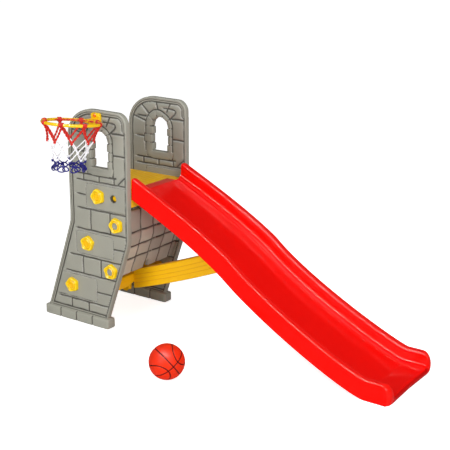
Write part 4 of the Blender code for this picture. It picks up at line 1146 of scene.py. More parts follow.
def bezier(a, b, c, d, count):
    """(1-t)^3 a + 3(1-t)^2 t b + 3(1-t) t^2 c + t^3 d."""
    t = np.linspace(0, 1, count)[:, None]
    a, b, c, d = (np.asarray(p, float) for p in (a, b, c, d))
    return ((1 - t) ** 3 * a + 3 * (1 - t) ** 2 * t * b
            + 3 * (1 - t) * t * t * c + t ** 3 * d)


def chute_line(per_curve=57, per_flat=11):
    """From the platform down to the middle, then out flat along the floor."""
    start = np.array([0.0005, 0.588])
    middle = np.array([0.472, 0.321])
    steep = np.array([1.0, -0.788])
    flat_start = np.array([1.089, 0.0])
    upper = bezier(start, start + (0.141, -0.069), middle - steep * 0.134, middle,
                   per_curve)
    lower = bezier(middle, middle + steep * 0.176, flat_start - (0.067, 0),
                   flat_start, per_curve)
    flat_x = np.linspace(flat_start[0], CHUTE_END - NOSE, per_flat + 1)[1:]
    flat_run = np.column_stack([flat_x, np.zeros(per_flat)])
    return np.concatenate([upper, lower[1:], flat_run])


LINE = chute_line()


def chute_height(x):
    """The line's height at x."""
    return np.interp(x, LINE[:, 0], LINE[:, 1])


print("chute line of", len(LINE), "points from", LINE[0], "to", LINE[-1])

# %% [markdown]
# The rail stands about 80 mm high with a softly squared top. It falls steeply to a
# narrow ledge beside the sliding floor, and that ledge is the second bright line
# that follows each rail in the light. The floor itself lies 22 mm above the line.

# %% The chute's section
def chute_section():
    """Control points from the outer foot to the middle, rounded by corner cutting."""
    h = CHUTE_HALF
    control = [(h, 0.0), (h, 0.010), (h - 0.0004, 0.040), (h - 0.0008, 0.070),
               (h - 0.0018, 0.0778), (h - 0.0058, 0.0806), (h - 0.0150, 0.0808),
               (h - 0.0250, 0.0804), (h - 0.0300, 0.0780), (h - 0.0326, 0.0700),
               (h - 0.0338, 0.0530), (h - 0.0346, 0.0400), (h - 0.0366, 0.0342),
               (h - 0.0410, 0.0318), (h - 0.0462, 0.0294), (h - 0.0502, 0.0256),
               (h - 0.0538, 0.0229), (h - 0.0600, 0.0220), (0.090, 0.0220),
               (0.045, 0.0222), (0.0, 0.0222)]
    return eased(control, 3)


def both_sides(half):
    """The half section and its mirror image as one line across the chute."""
    return np.concatenate([half, half[-2::-1] * (-1, 1)])


def offset_inside(half, wall):
    """The line shifted by the wall's thickness towards the hollow underside."""
    inside = half + left_of(half, closed=False) * wall
    inside[0] = (half[0, 0] - wall, half[0, 1])
    inside[-1] = (0.0, half[-1, 1] - wall)
    return inside


CHUTE_WALL = 0.004
OVER = both_sides(chute_section())
UNDER = both_sides(offset_inside(chute_section(), CHUTE_WALL))
print("section of", len(OVER), "points,", OVER[:, 1].max().round(4), "m high")

# %% [markdown]
# At the exit the sheet rolls over and down to the floor. The rails turn on a
# larger radius than the floor between them, and the outer corners are set back,
# so that the end looks rounded from above as well as from the side.

# %% The chute's sheet and its rolled exit
FROM_SIDE = CHUTE_HALF - np.abs(OVER[:, 0])
NOSE_TURN = np.interp(FROM_SIDE, [0.030, 0.036, 0.050, 0.060],
                      [0.032, 0.028, 0.018, 0.016])
SET_BACK = np.interp(FROM_SIDE, [0.0, 0.004, 0.010, 0.018, 0.026, 0.036, 0.060, 0.185],
                     [0.016, 0.010, 0.0045, 0.001, 0.0, 0.0005, 0.003, 0.006])


def chute_sheet(section, wall):
    """The section at each station, rolled over and down to the floor at the exit.

    In the roll a point's height is its own height times 0.37 + 0.63 cos(angle),
    and its place along the chute follows the sine. Rails turn on a larger radius
    than the floor, and the outer corners are set back.
    """
    slope = np.gradient(LINE[:, 1], LINE[:, 0])
    x = LINE[:, 0]
    lift = np.sqrt(1 + slope * slope)
    first = np.clip(x / 0.010, 0, 1)
    lift = lift * (0.955 + 0.045 * np.sqrt(1 - (1 - first) ** 2))
    flat_from = LINE[-12, 0]
    reach = np.clip((x - flat_from) / (CHUTE_END - NOSE - flat_from), 0, 1)
    xx = x[:, None] + reach[:, None] * (NOSE - NOSE_TURN - SET_BACK)[None]
    zz = LINE[:, 1, None] + lift[:, None] * section[None, :, 1]
    turn = np.radians(np.linspace(0, 126, 22))[1:, None]
    roll_x = CHUTE_END - SET_BACK - NOSE_TURN + (NOSE_TURN - wall) * np.sin(turn)
    roll_z = np.clip(0.37 + 0.63 * np.cos(turn), 0, 1) * section[None, :, 1]
    xx = np.concatenate([xx, roll_x])
    zz = np.concatenate([zz, roll_z])
    wide = 1 + 0.009 / CHUTE_HALF * smooth((xx - 0.45) / 0.60)
    return np.stack([xx, wide * section[None, :, 0], zz], -1)


over = chute_sheet(OVER, 0.0)
under = chute_sheet(UNDER, CHUTE_WALL)
bare = np.zeros(over[..., 0].size)
# A painted highlight lightens the rails' crests through the edge mask, and painted shade
# darkens the rolled lip at the exit through the groove mask.
crest_highlight = np.exp(-((OVER[:, 1] - 0.079) / 0.004) ** 2)
crest_highlight = np.broadcast_to(0.35 * crest_highlight, over.shape[:2]).ravel()
rolled = smooth((np.arange(len(over)) - len(LINE) - 2) / 6.0)[:, None]
lip_shade = rolled * (0.20 + 0.70 * smooth((FROM_SIDE - 0.030) / 0.020))[None]
piece("chute_shell", [slab(over, under)], chute_red,
      instead_of=["slide_chute"], crease=50,
      values={"edge": np.concatenate([crest_highlight, bare]),
              "groove": np.concatenate([lip_shade.ravel(), bare])})

# %% [markdown]
# At the top the chute hooks over the platform's edge with a flat tongue, and two
# small lugs under the floor take the pin of the strut. These are plates with
# rounded edges, cut from outlines drawn in side view.

# %% Tongue and lugs
PIN_X = 0.425
pin_low, pin_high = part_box("strut_pin")
PIN_Z = (pin_low.z + pin_high.z) / 2
HOOK_BACK = -0.0545
TONGUE_HALF = 0.124
LUG_HALF = 0.016
LUG_IN, LUG_OUT = 0.0228, 0.0288
tongue = soft_box(HOOK_BACK, 0.0100, 0.6053, 0.6093, 0.0016)
lip = soft_box(HOOK_BACK, HOOK_BACK + 0.004, 0.5835, 0.6080, 0.0016)
lug_x = np.array([PIN_X - LUG_HALF, PIN_X + LUG_HALF])
lug_top = chute_height(lug_x) + 0.024
lug_line = np.concatenate([[(lug_x[0], lug_top[0]), (lug_x[0], PIN_Z)],
                           arc(PIN_X, PIN_Z - 0.002, 0.013, 0.012, 190, 350, 14),
                           [(lug_x[1], PIN_Z), (lug_x[1], lug_top[1])]])
lug = cut_plate(lug_line, LUG_IN, LUG_OUT, 0.001)
piece("chute_tongue_and_lugs",
      [cut_plate(tongue, -TONGUE_HALF, TONGUE_HALF, 0.0015),
       cut_plate(lip, -TONGUE_HALF, TONGUE_HALF, 0.001),
       flip_side(lug, -1), flip_side(lug, 1)],
      chute_red, instead_of=["slide_chute"])

# %% [markdown]
# ## Strut
# A deep plank props the chute from the lower step. Three narrow grooves are part
# of its section, so they run its whole length, and the plank sags a little in the
# middle. The end at the step is a tenon with a lobe that hangs behind the skirt,
# and the other end is cut to the underside of the chute.

# %% Strut and pin
STRUT_HALF = 0.020
STRUT_START = -0.1335
STRUT_FOOT_Z = 0.1700
STRUT_RUN = 0.4395
STRUT_RISE = 0.1615
STRUT_SAG = 0.024
HOOK_HALF = 0.0105
RIB_LINES = (-0.018, 0.0, 0.018)


def strut_section():
    """Half thickness up the height: three narrow grooves and rounded edges."""
    h = np.linspace(-0.043, 0.043, 130)
    groove = joint_depth(np.abs(h[:, None] - np.array(RIB_LINES)).min(1), 0.0006, 0.0020)
    round_off = np.sqrt(np.clip(1 - (np.clip(np.abs(h) - 0.037, 0, None) / 0.006) ** 2,
                                0.02, 1))
    half = (STRUT_HALF + 0.0014 - 0.0014 * groove) * (0.72 + 0.28 * round_off)
    return (np.concatenate([np.column_stack([half, h]),
                            np.column_stack([-half[::-1], h[::-1]])]),
            np.concatenate([groove, groove[::-1]]))


def strut_patch():
    """The section along a slightly sagging line, its top end cut to the chute."""
    section, groove = strut_section()
    x = np.linspace(STRUT_START, PIN_X + 0.034, 70)
    t = (x - STRUT_START) / STRUT_RUN
    z = STRUT_FOOT_Z + STRUT_RISE * t - STRUT_SAG * t * (1 - t)
    slope = np.gradient(z, x)
    grid_z = z[:, None] + section[None, :, 1] * np.sqrt(1 + slope * slope)[:, None]
    roof = chute_height(x) + 0.018 * np.sqrt(1 + np.gradient(chute_height(x), x) ** 2)
    grid_z = np.minimum(grid_z, (roof - 0.0006)[:, None])
    thin = 0.86 + 0.14 * smooth((x - STRUT_START) / 0.03)
    y = section[None, :, 0] * thin[:, None]
    xx = np.broadcast_to(x[:, None], grid_z.shape)
    return np.stack([xx, y, grid_z], -1), np.broadcast_to(0.45 * groove, grid_z.shape)


def strut_hook():
    """The tenon through the skirt and the lobe hanging behind it."""
    top = 0.184
    control = [(-0.122, 0.1720), (-0.122, top - 0.0004), (-0.197, top - 0.0004),
               (-0.2068, top - 0.011), (-0.2068, 0.126), (-0.2055, 0.1060),
               (-0.1910, 0.1028), (-0.1765, 0.1060), (-0.1745, 0.126),
               (-0.1745, 0.1720)]
    line = spaced(eased(control[::-1], 2, closed=True), 0.002, closed=True)
    return cut_plate(line, -HOOK_HALF, HOOK_HALF, 0.003)


# The strut's three grooves are darkened through the groove mask.
grid, mask = strut_patch()
piece("strut_plank", [capped(grid)], tray_orange,
      instead_of=["support_strut"], crease=50, values={"groove": mask})
piece("strut_hook", [strut_hook()], tray_orange,
      instead_of=["support_strut"])
pin_profile = [(0.0, -0.0358), (0.0066, -0.0358), (0.0078, -0.0346), (0.0078, -0.0296),
               (0.0048, -0.0292), (0.0050, 0.0), (0.0050, 0.0318), (0.0042, 0.0327),
               (0.0, 0.0327)]
piece("strut_pin_round",
      [skin(lathe(pin_profile, (PIN_X, PIN_Z), 0.0, sides=28), wrap_rows=True)],
      tray_orange, instead_of=["strut_pin"])

# %% [markdown]
# ## Star nuts and studs
# Ten star nuts hold the trays and the wall. Seen from the front a nut is a radius
# that swells five times round the turn; in section it has a ring round the bore,
# a hollow, and a domed arm. Multiplying the two gives the whole surface. Each nut
# rides on a body of its own, so it can turn on its stud, and each was tightened
# to a different angle, which is where its first arm points at rest.

# %% Star nuts
NUTS = {"platform": (-0.152, 0.584, 36), "wall_high": (-0.057, 0.474, 36),
        "upper": (-0.217, 0.370, 14), "wall_low": (-0.091, 0.267, 20),
        "lower": (-0.313, 0.165, 34)}
NUT_BACK = OUTSIDE + 0.0003
BORE = 0.0150
ARM = 0.0312
SWELL = 0.0021
NUT_SIDES = 120


def nut_patch(x, z, first_arm):
    """Share of the way from bore to arm, and height, for each turn of the nut.

    The arm's radius is ARM + SWELL cos 5b + 0.0002 cos 10b, where b is the angle
    from the first arm.
    """
    section = np.array([
        (0.00, 0.0008), (0.00, 0.0160), (0.03, 0.0178), (0.09, 0.0188), (0.18, 0.0190),
        (0.26, 0.0184), (0.31, 0.0164), (0.37, 0.0148), (0.44, 0.0152), (0.51, 0.0172),
        (0.60, 0.0190), (0.69, 0.0198), (0.78, 0.0196), (0.87, 0.0182), (0.94, 0.0156),
        (0.985, 0.0118), (1.00, 0.0082), (1.00, 0.0040), (0.985, 0.0016), (0.95, 0.0002),
        (0.85, 0.0), (0.55, 0.0), (0.20, 0.0), (0.05, 0.0)])
    b = full_turn(NUT_SIDES) - math.radians(first_arm)
    lobe = np.cos(5 * b)
    arm = ARM + SWELL * lobe + 0.0002 * np.cos(10 * b)
    share = section[None, :, 0]
    radius = BORE + (arm[:, None] - BORE) * share
    height = np.broadcast_to(section[None, :, 1], radius.shape).copy()
    domed = (share > 0.38) & (share < 0.97) & (height > 0.01)
    height = height - domed * (0.0028 * (1 - lobe[:, None]) / 2
                               * np.sin(math.pi * np.clip((share - 0.38) / 0.62, 0, 1)))
    grid = spun((x, z), radius, NUT_BACK + height)
    # Painted shade darkens the hollow round the bore, and a painted highlight lightens
    # the domed tops of the arms.
    hollow = smooth(1 - np.abs(share - 0.34) / 0.12) * (height > 0.01)
    top = smooth(1 - np.abs(share - 0.72) / 0.25) * (height > 0.015)
    return grid, 0.8 * hollow, 0.5 * top


for label, (x, z, first_arm) in NUTS.items():
    grid, hollow_shade_mask, arm_highlight_mask = nut_patch(x, z, first_arm)
    for where, side in (("near", -1), ("far", 1)):
        name = f"nut_{label}_{where}"
        piece(f"star_{label}_{where}", [flip_side(skin(grid, True, True), side)],
              star_yellow, body=name, instead_of=[name], crease=50,
              values={"groove": hollow_shade_mask, "edge": arm_highlight_mask})

# %% [markdown]
# The studs are screws as thick as a thumb. A thread is a radius that rises and
# falls along the length and is a little further on for each step round the turn.

# %% Threaded studs and locating pegs
STUD_ROOT = 0.180
STUD_TIP = NUT_BACK + 0.015
STUD_RADIUS = 0.0147
STUD_SIDES = 36
PITCH = 0.0032
THREAD_DEPTH = 0.0009


def stud_patch(centre):
    """A shaft whose radius waves with (length / pitch - turn), and a dished end."""
    a = full_turn(STUD_SIDES)[:, None]
    y = np.linspace(STUD_ROOT, STUD_TIP - 0.0012, 60)
    wave = 0.5 - 0.5 * np.cos(2 * math.pi * y / PITCH - a)
    shaft = STUD_RADIUS - THREAD_DEPTH * smooth(wave) * (y > OUTSIDE - 0.003)
    share, back = np.transpose([(0.92, 0.0002), (0.82, 0.0), (0.58, 0.0),
                                (0.52, 0.0016), (0.20, 0.0020), (0.0, 0.0020)])
    end = np.broadcast_to(STUD_RADIUS * share, (STUD_SIDES, len(share)))
    radius = np.concatenate([np.zeros((STUD_SIDES, 1)), shaft, end], 1)
    return skin(spun(centre, radius, np.concatenate([[STUD_ROOT], y, STUD_TIP - back])),
                wrap_rows=True)


PEG_PROFILE = [(0.0, 0.0), (0.0124, 0.0), (0.0124, 0.0210), (0.0114, 0.0227),
               (0.0075, 0.0235), (0.0, 0.0235)]
peg = skin(lathe(PEG_PROFILE, PEG, STUD_ROOT), wrap_rows=True)
STUDS = {"platform": [stud_patch(TRAYS["platform"][-1]), peg],
         "step_upper": [stud_patch(TRAYS["step_upper"][-1])],
         "step_lower": [stud_patch(TRAYS["step_lower"][-1])],
         "wall": [stud_patch(NUTS[label][:2]) for label in ("wall_high", "wall_low")]}
for label, patches in STUDS.items():
    on_wall = label == "wall"
    piece(f"{label}_studs",
          [flip_side(patch, side) for patch in patches for side in (-1, 1)],
          stone_grey if on_wall else tray_orange,
          instead_of=["front_wall" if on_wall else label], crease=50)

# %% [markdown]
# ## Hoop
# A plastic ring hangs outside one panel on a bracket with an orange bolt. The
# ring is a tube round a circle, tipped up six degrees. Where each loop of the net
# hangs, a red cord is wound round the tube; that winding is a helix laid on it.

# %% Bracket
HOOP_X = -0.160
MOUNT_X = -0.147
HOOP_R = 0.115
HOOP_TUBE = 0.0065
BRACKET_FACE = -(NUT_BACK + 0.016)
HOOP_Y = BRACKET_FACE - 0.0003 - 0.007 - HOOP_R
HOOP_Z = 0.902
TILT = math.radians(6.0)
BOLT_Z = 0.926

block = spaced(soft_box(MOUNT_X - 0.023, MOUNT_X + 0.023, 0.890, 0.936, 0.010, 8),
               0.002, closed=True)
boss = [(0.0084, 0.0), (0.0097, 0.0), (0.0096, 0.0009), (0.0090, 0.0013),
        (0.0084, 0.0009)]
patches = [cut_plate(block, BRACKET_FACE, -NUT_BACK, 0.0035, 6),
           skin(lathe(boss, (MOUNT_X, BOLT_Z), BRACKET_FACE, -1, 40), True, True)]
for x in (MOUNT_X - 0.0182, MOUNT_X + 0.0182):
    patches.append(cut_plate(soft_box(x - 0.002, x + 0.002, 0.895, 0.931, 0.0019),
                             BRACKET_FACE - 0.0012, BRACKET_FACE + 0.002, 0.0008))
piece("hoop_bracket_block", patches, hoop_yellow,
      instead_of=["hoop_bracket"])

# %% [markdown]
# The bolt's round head has a six-sided hollow. The distance from the middle to the
# flat side of a hexagon is cos(30) / cos(angle from the side's middle) of its
# radius, and only the two rows of the hollow are scaled by it.

# %% Bolt and nut
BOLT_SIDES = 48
NUT_RADIUS = 0.0102
head_radius, head_reach = np.transpose([
    (0.0, 0.0028), (0.0030, 0.0028), (0.0034, 0.0050), (0.0052, 0.0051),
    (0.0068, 0.0042), (0.0078, 0.0024), (0.0080, 0.0006), (0.0034, 0.0003),
    (0.0036, -0.0540), (0.0, -0.0540)])
sixth = math.pi / 3
hexagon = math.cos(sixth / 2) / np.cos(full_turn(BOLT_SIDES) % sixth - sixth / 2)
rows = np.broadcast_to(head_radius, (BOLT_SIDES, len(head_radius))).copy()
rows[:, 1:3] *= hexagon[:, None]
bolt = spun((MOUNT_X, BOLT_Z), rows, BRACKET_FACE - head_reach)
piece("hoop_bolt_round", [skin(bolt, wrap_rows=True)], bolt_orange,
      instead_of=["hoop_bolt"])
corners = arc(MOUNT_X, BOLT_Z, NUT_RADIUS, NUT_RADIUS, 0, 300, 6)
nut_line = spaced(eased(corners, 2, True), 0.0008, closed=True)
piece("hoop_nut_hexagon",
      [cut_plate(nut_line, -INSIDE + 0.0003, -INSIDE + 0.009, 0.001)],
      hoop_yellow, instead_of=["hoop_nut"])

# %% [markdown]
# The ring lies in a plane of its own, higher on the side away from the panel. It
# is easiest to draw in that plane and then to turn each point into the tower's
# frame. Two swollen cheeks run from the arm into the ring, where it would break.

# %% The ring and its arm
def on_hoop(across, out, up):
    """A point given in the ring's own tipped plane, as a point of the tower."""
    x = HOOP_X + np.asarray(across, float)
    y = HOOP_Y + np.asarray(out) * math.cos(TILT) + np.asarray(up) * math.sin(TILT)
    z = (HOOP_Z + HOOP_R * math.sin(TILT) - np.asarray(out) * math.sin(TILT)
         + np.asarray(up) * math.cos(TILT))
    return np.stack(np.broadcast_arrays(x, y, z), -1)


a = full_turn(144)
ring_path = on_hoop(HOOP_R * np.cos(a), HOOP_R * np.sin(a), 0.0)
arm_z = HOOP_Z - 0.004
arm_line = spaced(soft_box(MOUNT_X - 0.022, MOUNT_X + 0.022, arm_z - 0.014,
                           arm_z + 0.014, 0.007, 7), 0.0015, closed=True)
patches = [tube(ring_path, HOOP_TUBE, 20, closed=True),
           cut_plate(arm_line, BRACKET_FACE - 0.0143, BRACKET_FACE - 0.0003, 0.0028, 5)]
middle = math.pi / 2 - math.asin((MOUNT_X - HOOP_X) / HOOP_R)
for side in (-1, 1):
    b = middle - side * np.linspace(0.16, 0.40, 16)
    cheek = on_hoop(HOOP_R * np.cos(b), HOOP_R * np.sin(b), -0.001)
    patches.append(tube(cheek, np.linspace(0.0118, 0.0067, 16), 20))
# The ring's colour darkens on the side towards the panel.
ring_y = np.concatenate([points for points, _ in patches])[:, 1]
piece("hoop_ring_tube", patches, hoop_yellow, instead_of=["hoop_ring"],
      values={"groove": 0.55 * smooth((ring_y - HOOP_Y - 0.02) / 0.07)})

# %% [markdown]
# ## Net
# The net is knotted cord in three colours: doubled red cords from the ring to the
# first row of knots, white diamonds below, and loose blue loops at the mouth. The
# knots sit on a cone that narrows downwards, and each cord is a tube along a
# curve that bows a little under its own weight.

# %% Cord finish
fibre, f_in, f_out = node_group(
    "cord_fibre",
    [("Base", COLOUR, (0.8, 0.8, 0.8, 1)), ("Shade", COLOUR, (0.3, 0.3, 0.3, 1)),
     ("Strand Size", FLOAT, 0.0016), ("Depth", FLOAT, 0.0003)],
    [("Color", COLOUR), ("Normal", VECTOR)])
where = own_place(fibre)
strands = add(fibre, "ShaderNodeTexWave", {"bands_direction": "DIAGONAL"}, Vector=where,
              Distortion=1.5, Detail=2.0,
              Scale=maths(fibre, "DIVIDE", 0.3, f_in.outputs["Strand Size"])).outputs[1]
fuzz = noise(fibre, where, 1800.0, 2.0)
relief = maths(fibre, "ADD", strands, maths(fibre, "MULTIPLY", fuzz, 0.5))
twist_bump = add(fibre, "ShaderNodeBump", Strength=0.8, Distance=1.0,
                 Height=maths(fibre, "MULTIPLY", relief, f_in.outputs["Depth"]))
fibre.links.new(twist_bump.outputs[0], f_out.inputs["Normal"])
fibre.links.new(blend_colours(fibre, maths(fibre, "MULTIPLY", strands, 0.75),
                              f_in.outputs["Shade"], f_in.outputs["Base"]),
                f_out.inputs["Color"])


def cord_finish(name, base, shade, glow=0.0):
    """A soft twisted cord: rough, with a little sheen from its loose fibres."""
    mat, tree, shader = new_material(name, base, Roughness=0.8, Sheen_Weight=0.06,
                                     Specular_IOR_Level=0.25,
                                     Emission_Color=(*base, 1), Emission_Strength=glow)
    laid = add(tree, "ShaderNodeGroup", {"node_tree": fibre}, Base=(*base, 1),
               Shade=(*shade, 1))
    tree.links.new(laid.outputs["Color"], shader.inputs["Base Color"])
    tree.links.new(laid.outputs["Normal"], shader.inputs["Normal"])
    return mat


cord_red = cord_finish("cord_red", (0.92, 0.028, 0.008), (0.55, 0.012, 0.006))
# The white cord glows faintly, painted light that keeps the thin cords white.
cord_white = cord_finish("cord_white", (0.95, 0.95, 0.96), (0.70, 0.70, 0.74), 0.22)
cord_blue = cord_finish("cord_blue", (0.014, 0.011, 0.28), (0.007, 0.006, 0.15))
print("three cords ready")

# %% [markdown]
# Every knot has a number and a level, and a cord only has to know the two knots
# that it joins. A knot is a real trefoil curve, drawn small, and a winding is a
# helix laid on the ring. The helpers come first, then one loop lays all cords.

# %% Knots, strands and windings
LOOPS = 8
LEVELS = ((0.0, 0.0085), (0.024, 0.072), (0.040, 0.112), (0.050, 0.150),
          (0.057, 0.172))
SWAY = np.array([-0.015, -0.008, 0.0])
DOWN = np.array([0.0, 0.0, -1.0])


def knot_place(level, number):
    """A knot's point: each level is turned half a loop against the one above."""
    inset, drop = LEVELS[level]
    turn = 2 * math.pi * (number + 0.5 + 0.5 * (level % 2)) / LOOPS
    radius = HOOP_R - inset
    return (on_hoop(radius * math.cos(turn), radius * math.sin(turn), 0.0)
            + DOWN * drop + SWAY * smooth(drop / LEVELS[-1][1]))


def hang(a, b, bow=0.10, count=14):
    """A line from a to b that bows inward and a little down in the middle."""
    t = np.linspace(0, 1, count)[:, None]
    length = np.linalg.norm(b - a)
    hub = np.array([HOOP_X, HOOP_Y, 0])
    inward = unit((hub - (a + b) / 2) * (1, 1, 0))
    sag = np.sin(math.pi * t) * length * bow
    return a + (b - a) * t + (inward * 0.8 + DOWN * 0.35) * sag


def twisted(path, apart, turns):
    """Two strands that wind round a path: the path plus and minus a turning arm."""
    along = heading(path)
    side = unit(np.cross(along, (0.3, 0.2, 1.0)))
    other = np.cross(along, side)
    a = np.linspace(0, 2 * math.pi * turns, len(path))[:, None]
    arm = (side * np.cos(a) + other * np.sin(a)) * apart
    return path + arm, path - arm


def knot(centre, size, radius):
    """A small knot: the trefoil (sin t + 2 sin 2t, -1.2 sin 3t, cos t - 2 cos 2t)."""
    t = full_turn(40)
    curve = np.stack([np.sin(t) + 2 * np.sin(2 * t), -1.2 * np.sin(3 * t),
                      np.cos(t) - 2 * np.cos(2 * t)], -1)
    return tube(centre + curve * size / 3, radius, 7, closed=True)


def winding(turn, turns=5, spread=0.0085, lay=0.0019):
    """A helix round the ring's tube: the turn advances along the ring."""
    s = np.linspace(-1, 1, turns * 14)
    b = s * math.pi * turns
    along = turn + s * spread / HOOP_R
    r = HOOP_R + (HOOP_TUBE + lay) * np.cos(b)
    return on_hoop(r * np.cos(along), r * np.sin(along), (HOOP_TUBE + lay) * np.sin(b))


print("the lowest knots hang", LEVELS[-1][1], "m under the ring")

# %% [markdown]
# The loose loops at the mouth are closed curves that lean outwards and to one
# side. Two of them hang from each of the lowest knots.

# %% A loose loop
def loose_loop(top, shift, size):
    """Sideways by sin t (1 - 0.4 cos t) and down by 1 - cos t, times the size."""
    out = unit((top - (HOOP_X + SWAY[0], HOOP_Y + SWAY[1], 0)) * (1, 1, 0))
    sideways = np.cross(out, -DOWN)
    t = np.linspace(0, 2 * math.pi, 30)[:, None]
    return (top + sideways * (shift + size * 1.1 * np.sin(t) * (1 - 0.4 * np.cos(t)))
            + DOWN * size * 0.8 * (1 - np.cos(t))
            + out * (0.006 * np.sin(t / 2) + shift * 0.3))


def cord(path, radius=0.0025):
    """A cord of seven sides along a path."""
    return tube(path, radius, 7)


print("a loose loop is", len(loose_loop(knot_place(4, 0), 0.0, 0.012)), "points")

# %% [markdown]
# One turn of this loop lays everything that belongs to one eighth of the net, from
# the winding on the ring down to the loops at the mouth. Two red cords also run
# along the inside of the ring, over and under each other.

# %% Lay the net
red, white, blue = [], [], []
for k in range(LOOPS):
    top, second, third, fourth, lowest = (knot_place(level, k) for level in range(5))
    red += [cord(winding(2 * math.pi * (k + 0.5) / LOOPS), 0.0019),
            knot(top, 0.0052, 0.0018)]
    for other in (k - 1, k):
        red += [cord(strand, 0.0026) for strand in
                twisted(hang(top, knot_place(1, other), 0.06, 22), 0.0024, 2.5)]
    red.append(knot(second, 0.0062, 0.0023))
    tied = fourth + DOWN * 0.004
    blue.append(knot(tied, 0.0050, 0.0021))
    for other in (k, k + 1):
        white += [cord(hang(second, knot_place(2, other))),
                  cord(hang(third, knot_place(3, other - 1)))]
        blue.append(cord(hang(tied, knot_place(4, other), 0.30, 18)))
    white += [knot(third, 0.0052, 0.0019), knot(fourth - DOWN * 0.004, 0.0052, 0.0019)]
    blue += [cord(loose_loop(lowest, shift, size), 0.0027)
             for shift, size in ((-0.008, 0.0105), (0.008, 0.0125))]
    blue.append(knot(lowest, 0.0050, 0.0022))
a = np.linspace(0.15, math.pi - 0.15, 90)
lay = HOOP_R - HOOP_TUBE - 0.0018
for late in (0.0, math.pi):
    red.append(cord(on_hoop(lay * np.cos(a), lay * np.sin(a),
                            0.0024 * np.sin(16 * a + late)), 0.0018))
for label, patches, finish in (("red", red, cord_red), ("white", white, cord_white),
                               ("blue", blue, cord_blue)):
    piece(f"net_{label}_cords", patches, finish, instead_of=["hoop_net"],
          crease=80)

# %% [markdown]
# ## Ball
# The ball is a sphere pressed in along its seams. Two seams are great circles at
# right angles; the other two are closed curves that bulge away from one of them.
# The angle to the nearest seam gives the depth of the groove, and that depth is
# kept on the points so that the paint in the groove follows it.

# %% Ball
BALL_R = 0.070
SEAM_DEPTH = 0.0012
BALL = np.array([0.385, -0.458, BALL_R])
FACING = np.array([0.852, -0.515, 0.090])
ALONG_SEAM = np.array([0.367, 0.711, 0.599])


def ball_piece():
    """Radius R less the groove's depth, over a grid of latitude and longitude."""
    p = unit(FACING)
    q = unit(ALONG_SEAM - p * (ALONG_SEAM @ p))
    r = np.cross(p, q)
    pole = (p + q + r) / math.sqrt(3)
    side = unit(np.cross(pole, p))
    other = np.cross(pole, side)
    lat = np.linspace(-math.pi / 2, math.pi / 2, 150)[:, None, None]
    lon = full_turn(280)[:, None]
    ring = side * np.cos(lon) + other * np.sin(lon)
    way = pole * np.sin(lat) + ring[None] * np.cos(lat)
    off_q, off_r = (np.abs(np.arcsin(np.clip(way @ v, -1, 1))) for v in (q, r))
    ear = np.radians(38 - 17 * np.cos(2 * np.arctan2(way @ r, way @ p)))
    gap = np.minimum(np.minimum(off_q, off_r), np.abs(off_q - ear) * 0.9)
    seam = joint_depth(gap * BALL_R, 0.0012, 0.0027)
    grid = BALL + way * (BALL_R - SEAM_DEPTH * seam)[..., None]
    piece("ball_round", [skin(grid, wrap_cols=True)], ball_rubber,
          body="ball", instead_of=["ball"], crease=80, values={"groove": seam})


def rubber(name, base, seam):
    """Pebbled rubber: small cells for the pimples, dark paint in the seams."""
    mat, tree, shader = new_material(name, base, Specular_IOR_Level=0.13,
                                     Coat_Weight=0.04, Coat_Roughness=0.3)
    where = own_place(tree)
    mask = add(tree, "ShaderNodeAttribute", {"attribute_name": "groove"}).outputs["Fac"]
    broad = noise(tree, where, 14.0, 2.0)
    lifted = add(tree, "ShaderNodeHueSaturation", Color=(*base, 1),
                 Value=maths(tree, "ADD", maths(tree, "MULTIPLY", broad, 0.16), 0.92))
    paint = blend_colours(tree, maths(tree, "MULTIPLY", mask, 1.15, True),
                          lifted.outputs[0], (*seam, 1))
    tree.links.new(paint, shader.inputs["Base Color"])
    pebble = add(tree, "ShaderNodeTexVoronoi", {"feature": "SMOOTH_F1"}, Vector=where,
                 Scale=430.0).outputs["Distance"]
    raised = maths(tree, "MULTIPLY", maths(tree, "SUBTRACT", 1.0, pebble),
                   maths(tree, "SUBTRACT", 1.0, mask))
    bumps = add(tree, "ShaderNodeBump", Strength=0.7, Distance=1.0,
                Height=maths(tree, "MULTIPLY", raised, 0.0005))
    tree.links.new(bumps.outputs[0], shader.inputs["Normal"])
    rough = maths(tree, "ADD", maths(tree, "MULTIPLY", broad, 0.12), 0.36)
    tree.links.new(rough, shader.inputs["Roughness"])
    return mat


ball_rubber = rubber("ball_rubber", (0.86, 0.030, 0.004), (0.06, 0.003, 0.004))
ball_piece()

# %% [markdown]
# ## Floor and light
# The tower stands on a plain pale floor that reaches past the picture on every
# side. It glows a little for the camera alone, so that it is white in the picture
# but throws no extra light up at the plastic, and a glossy surface mirrors it as a
# middle grey, so that the chute stays red.

# %% Floor
bpy.context.scene.view_settings.view_transform = "Standard"
SHEET = 40.0
FLOOR_GLOW = 0.80
FLOOR_Z = -0.0008
FLOOR_LINES = 25
x = np.linspace(-SHEET, SHEET, FLOOR_LINES)
xx, yy = np.meshgrid(x, x, indexing="ij")
floor_mesh = bpy.data.meshes.new("floor")
floor_mesh.from_pydata(np.stack([xx, yy, np.full_like(xx, FLOOR_Z)], -1).reshape(-1, 3),
                       [], grid_faces(FLOOR_LINES, FLOOR_LINES))
floor = bpy.data.objects.new("floor", floor_mesh)
bpy.context.scene.collection.objects.link(floor)
floor_paint, tree, shader = new_material(
    "floor_paint", (0.88, 0.88, 0.88), Specular_IOR_Level=0.0, Roughness=0.9,
    Emission_Color=(1, 1, 1, 1))
cloud = noise(tree, own_place(tree), 1.2, 2.0)
paper = blend_colours(tree, cloud, (0.86, 0.86, 0.86, 1), (0.90, 0.90, 0.895, 1))
rays = add(tree, "ShaderNodeLightPath").outputs
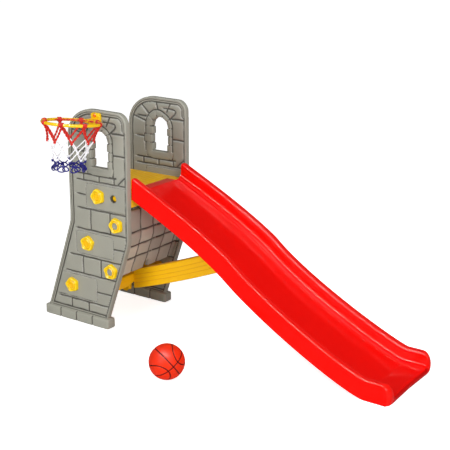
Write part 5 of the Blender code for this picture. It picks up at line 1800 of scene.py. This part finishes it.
tree.links.new(blend_colours(tree, rays["Is Glossy Ray"], paper, (0.22, 0.22, 0.22, 1)),
               shader.inputs["Base Color"])
tree.links.new(maths(tree, "MULTIPLY", rays["Is Camera Ray"], FLOOR_GLOW),
               shader.inputs["Emission Strength"])
floor_mesh.materials.append(floor_paint)
floor_mesh.flip_normals()
print("floor", 2 * SHEET, "m wide")

# %% [markdown]
# Four lamps light the tower. The main one stands in front, a weaker one fills in
# from the right, and a third lights the decks from above but shows in nothing
# glossy. The long narrow one is the opposite: it is seen only as a reflection, the
# bright line along the chute's rails.

# %% Lamps
def lamp(name, place, aim, size, watts, narrow=None):
    """An area lamp at one point, turned to look at another."""
    data = bpy.data.lights.new(name, "AREA")
    data.shape = "RECTANGLE"
    data.size = size
    data.size_y = narrow or size
    data.energy = watts
    light = bpy.data.objects.new(name, data)
    light.location = place
    way = Vector(aim) - Vector(place)
    light.rotation_euler = way.to_track_quat("-Z", "Y").to_euler()
    bpy.context.scene.collection.objects.link(light)
    return light


lamp("main", (-0.4, -4.6, 1.9), (0.0, 0.0, 0.45), 2.0, 104)
lamp("fill", (3.6, -2.2, 1.5), (0.0, 0.1, 0.3), 1.6, 56)
top_lamp = lamp("top", (1.7, -0.5, 3.1), (0.3, 0.0, 0.2), 1.6, 40)
top_lamp.visible_glossy = False
streak = lamp("streak", (0.2, -1.6, 2.9), (0.2, 0.0, 0.35), 3.0, 330, 0.45)
streak.visible_diffuse = False
print("lamps placed:", len(bpy.data.lights))

# %% [markdown]
# The room is white to the camera and a soft grey light to everything else. What a
# glossy surface mirrors of it is darker still, because a bright room in every
# reflection would wash the colours out.

# %% White surroundings
AROUND = 0.30
MIRRORED = 0.05
world = bpy.data.worlds.new("studio")
world.use_nodes = True
tree = world.node_tree
paths = add(tree, "ShaderNodeLightPath").outputs
glow = maths(tree, "ADD", AROUND, maths(tree, "MULTIPLY", paths["Is Camera Ray"], 1.0))
glow = maths(tree, "SUBTRACT", glow, maths(tree, "MULTIPLY", paths["Is Glossy Ray"],
                                           AROUND - MIRRORED))
tree.nodes["Background"].inputs[0].default_value = (1.0, 1.0, 1.0, 1)
tree.links.new(glow, tree.nodes["Background"].inputs[1])
bpy.context.scene.world = world
print("room light", AROUND, "and in reflections", MIRRORED)
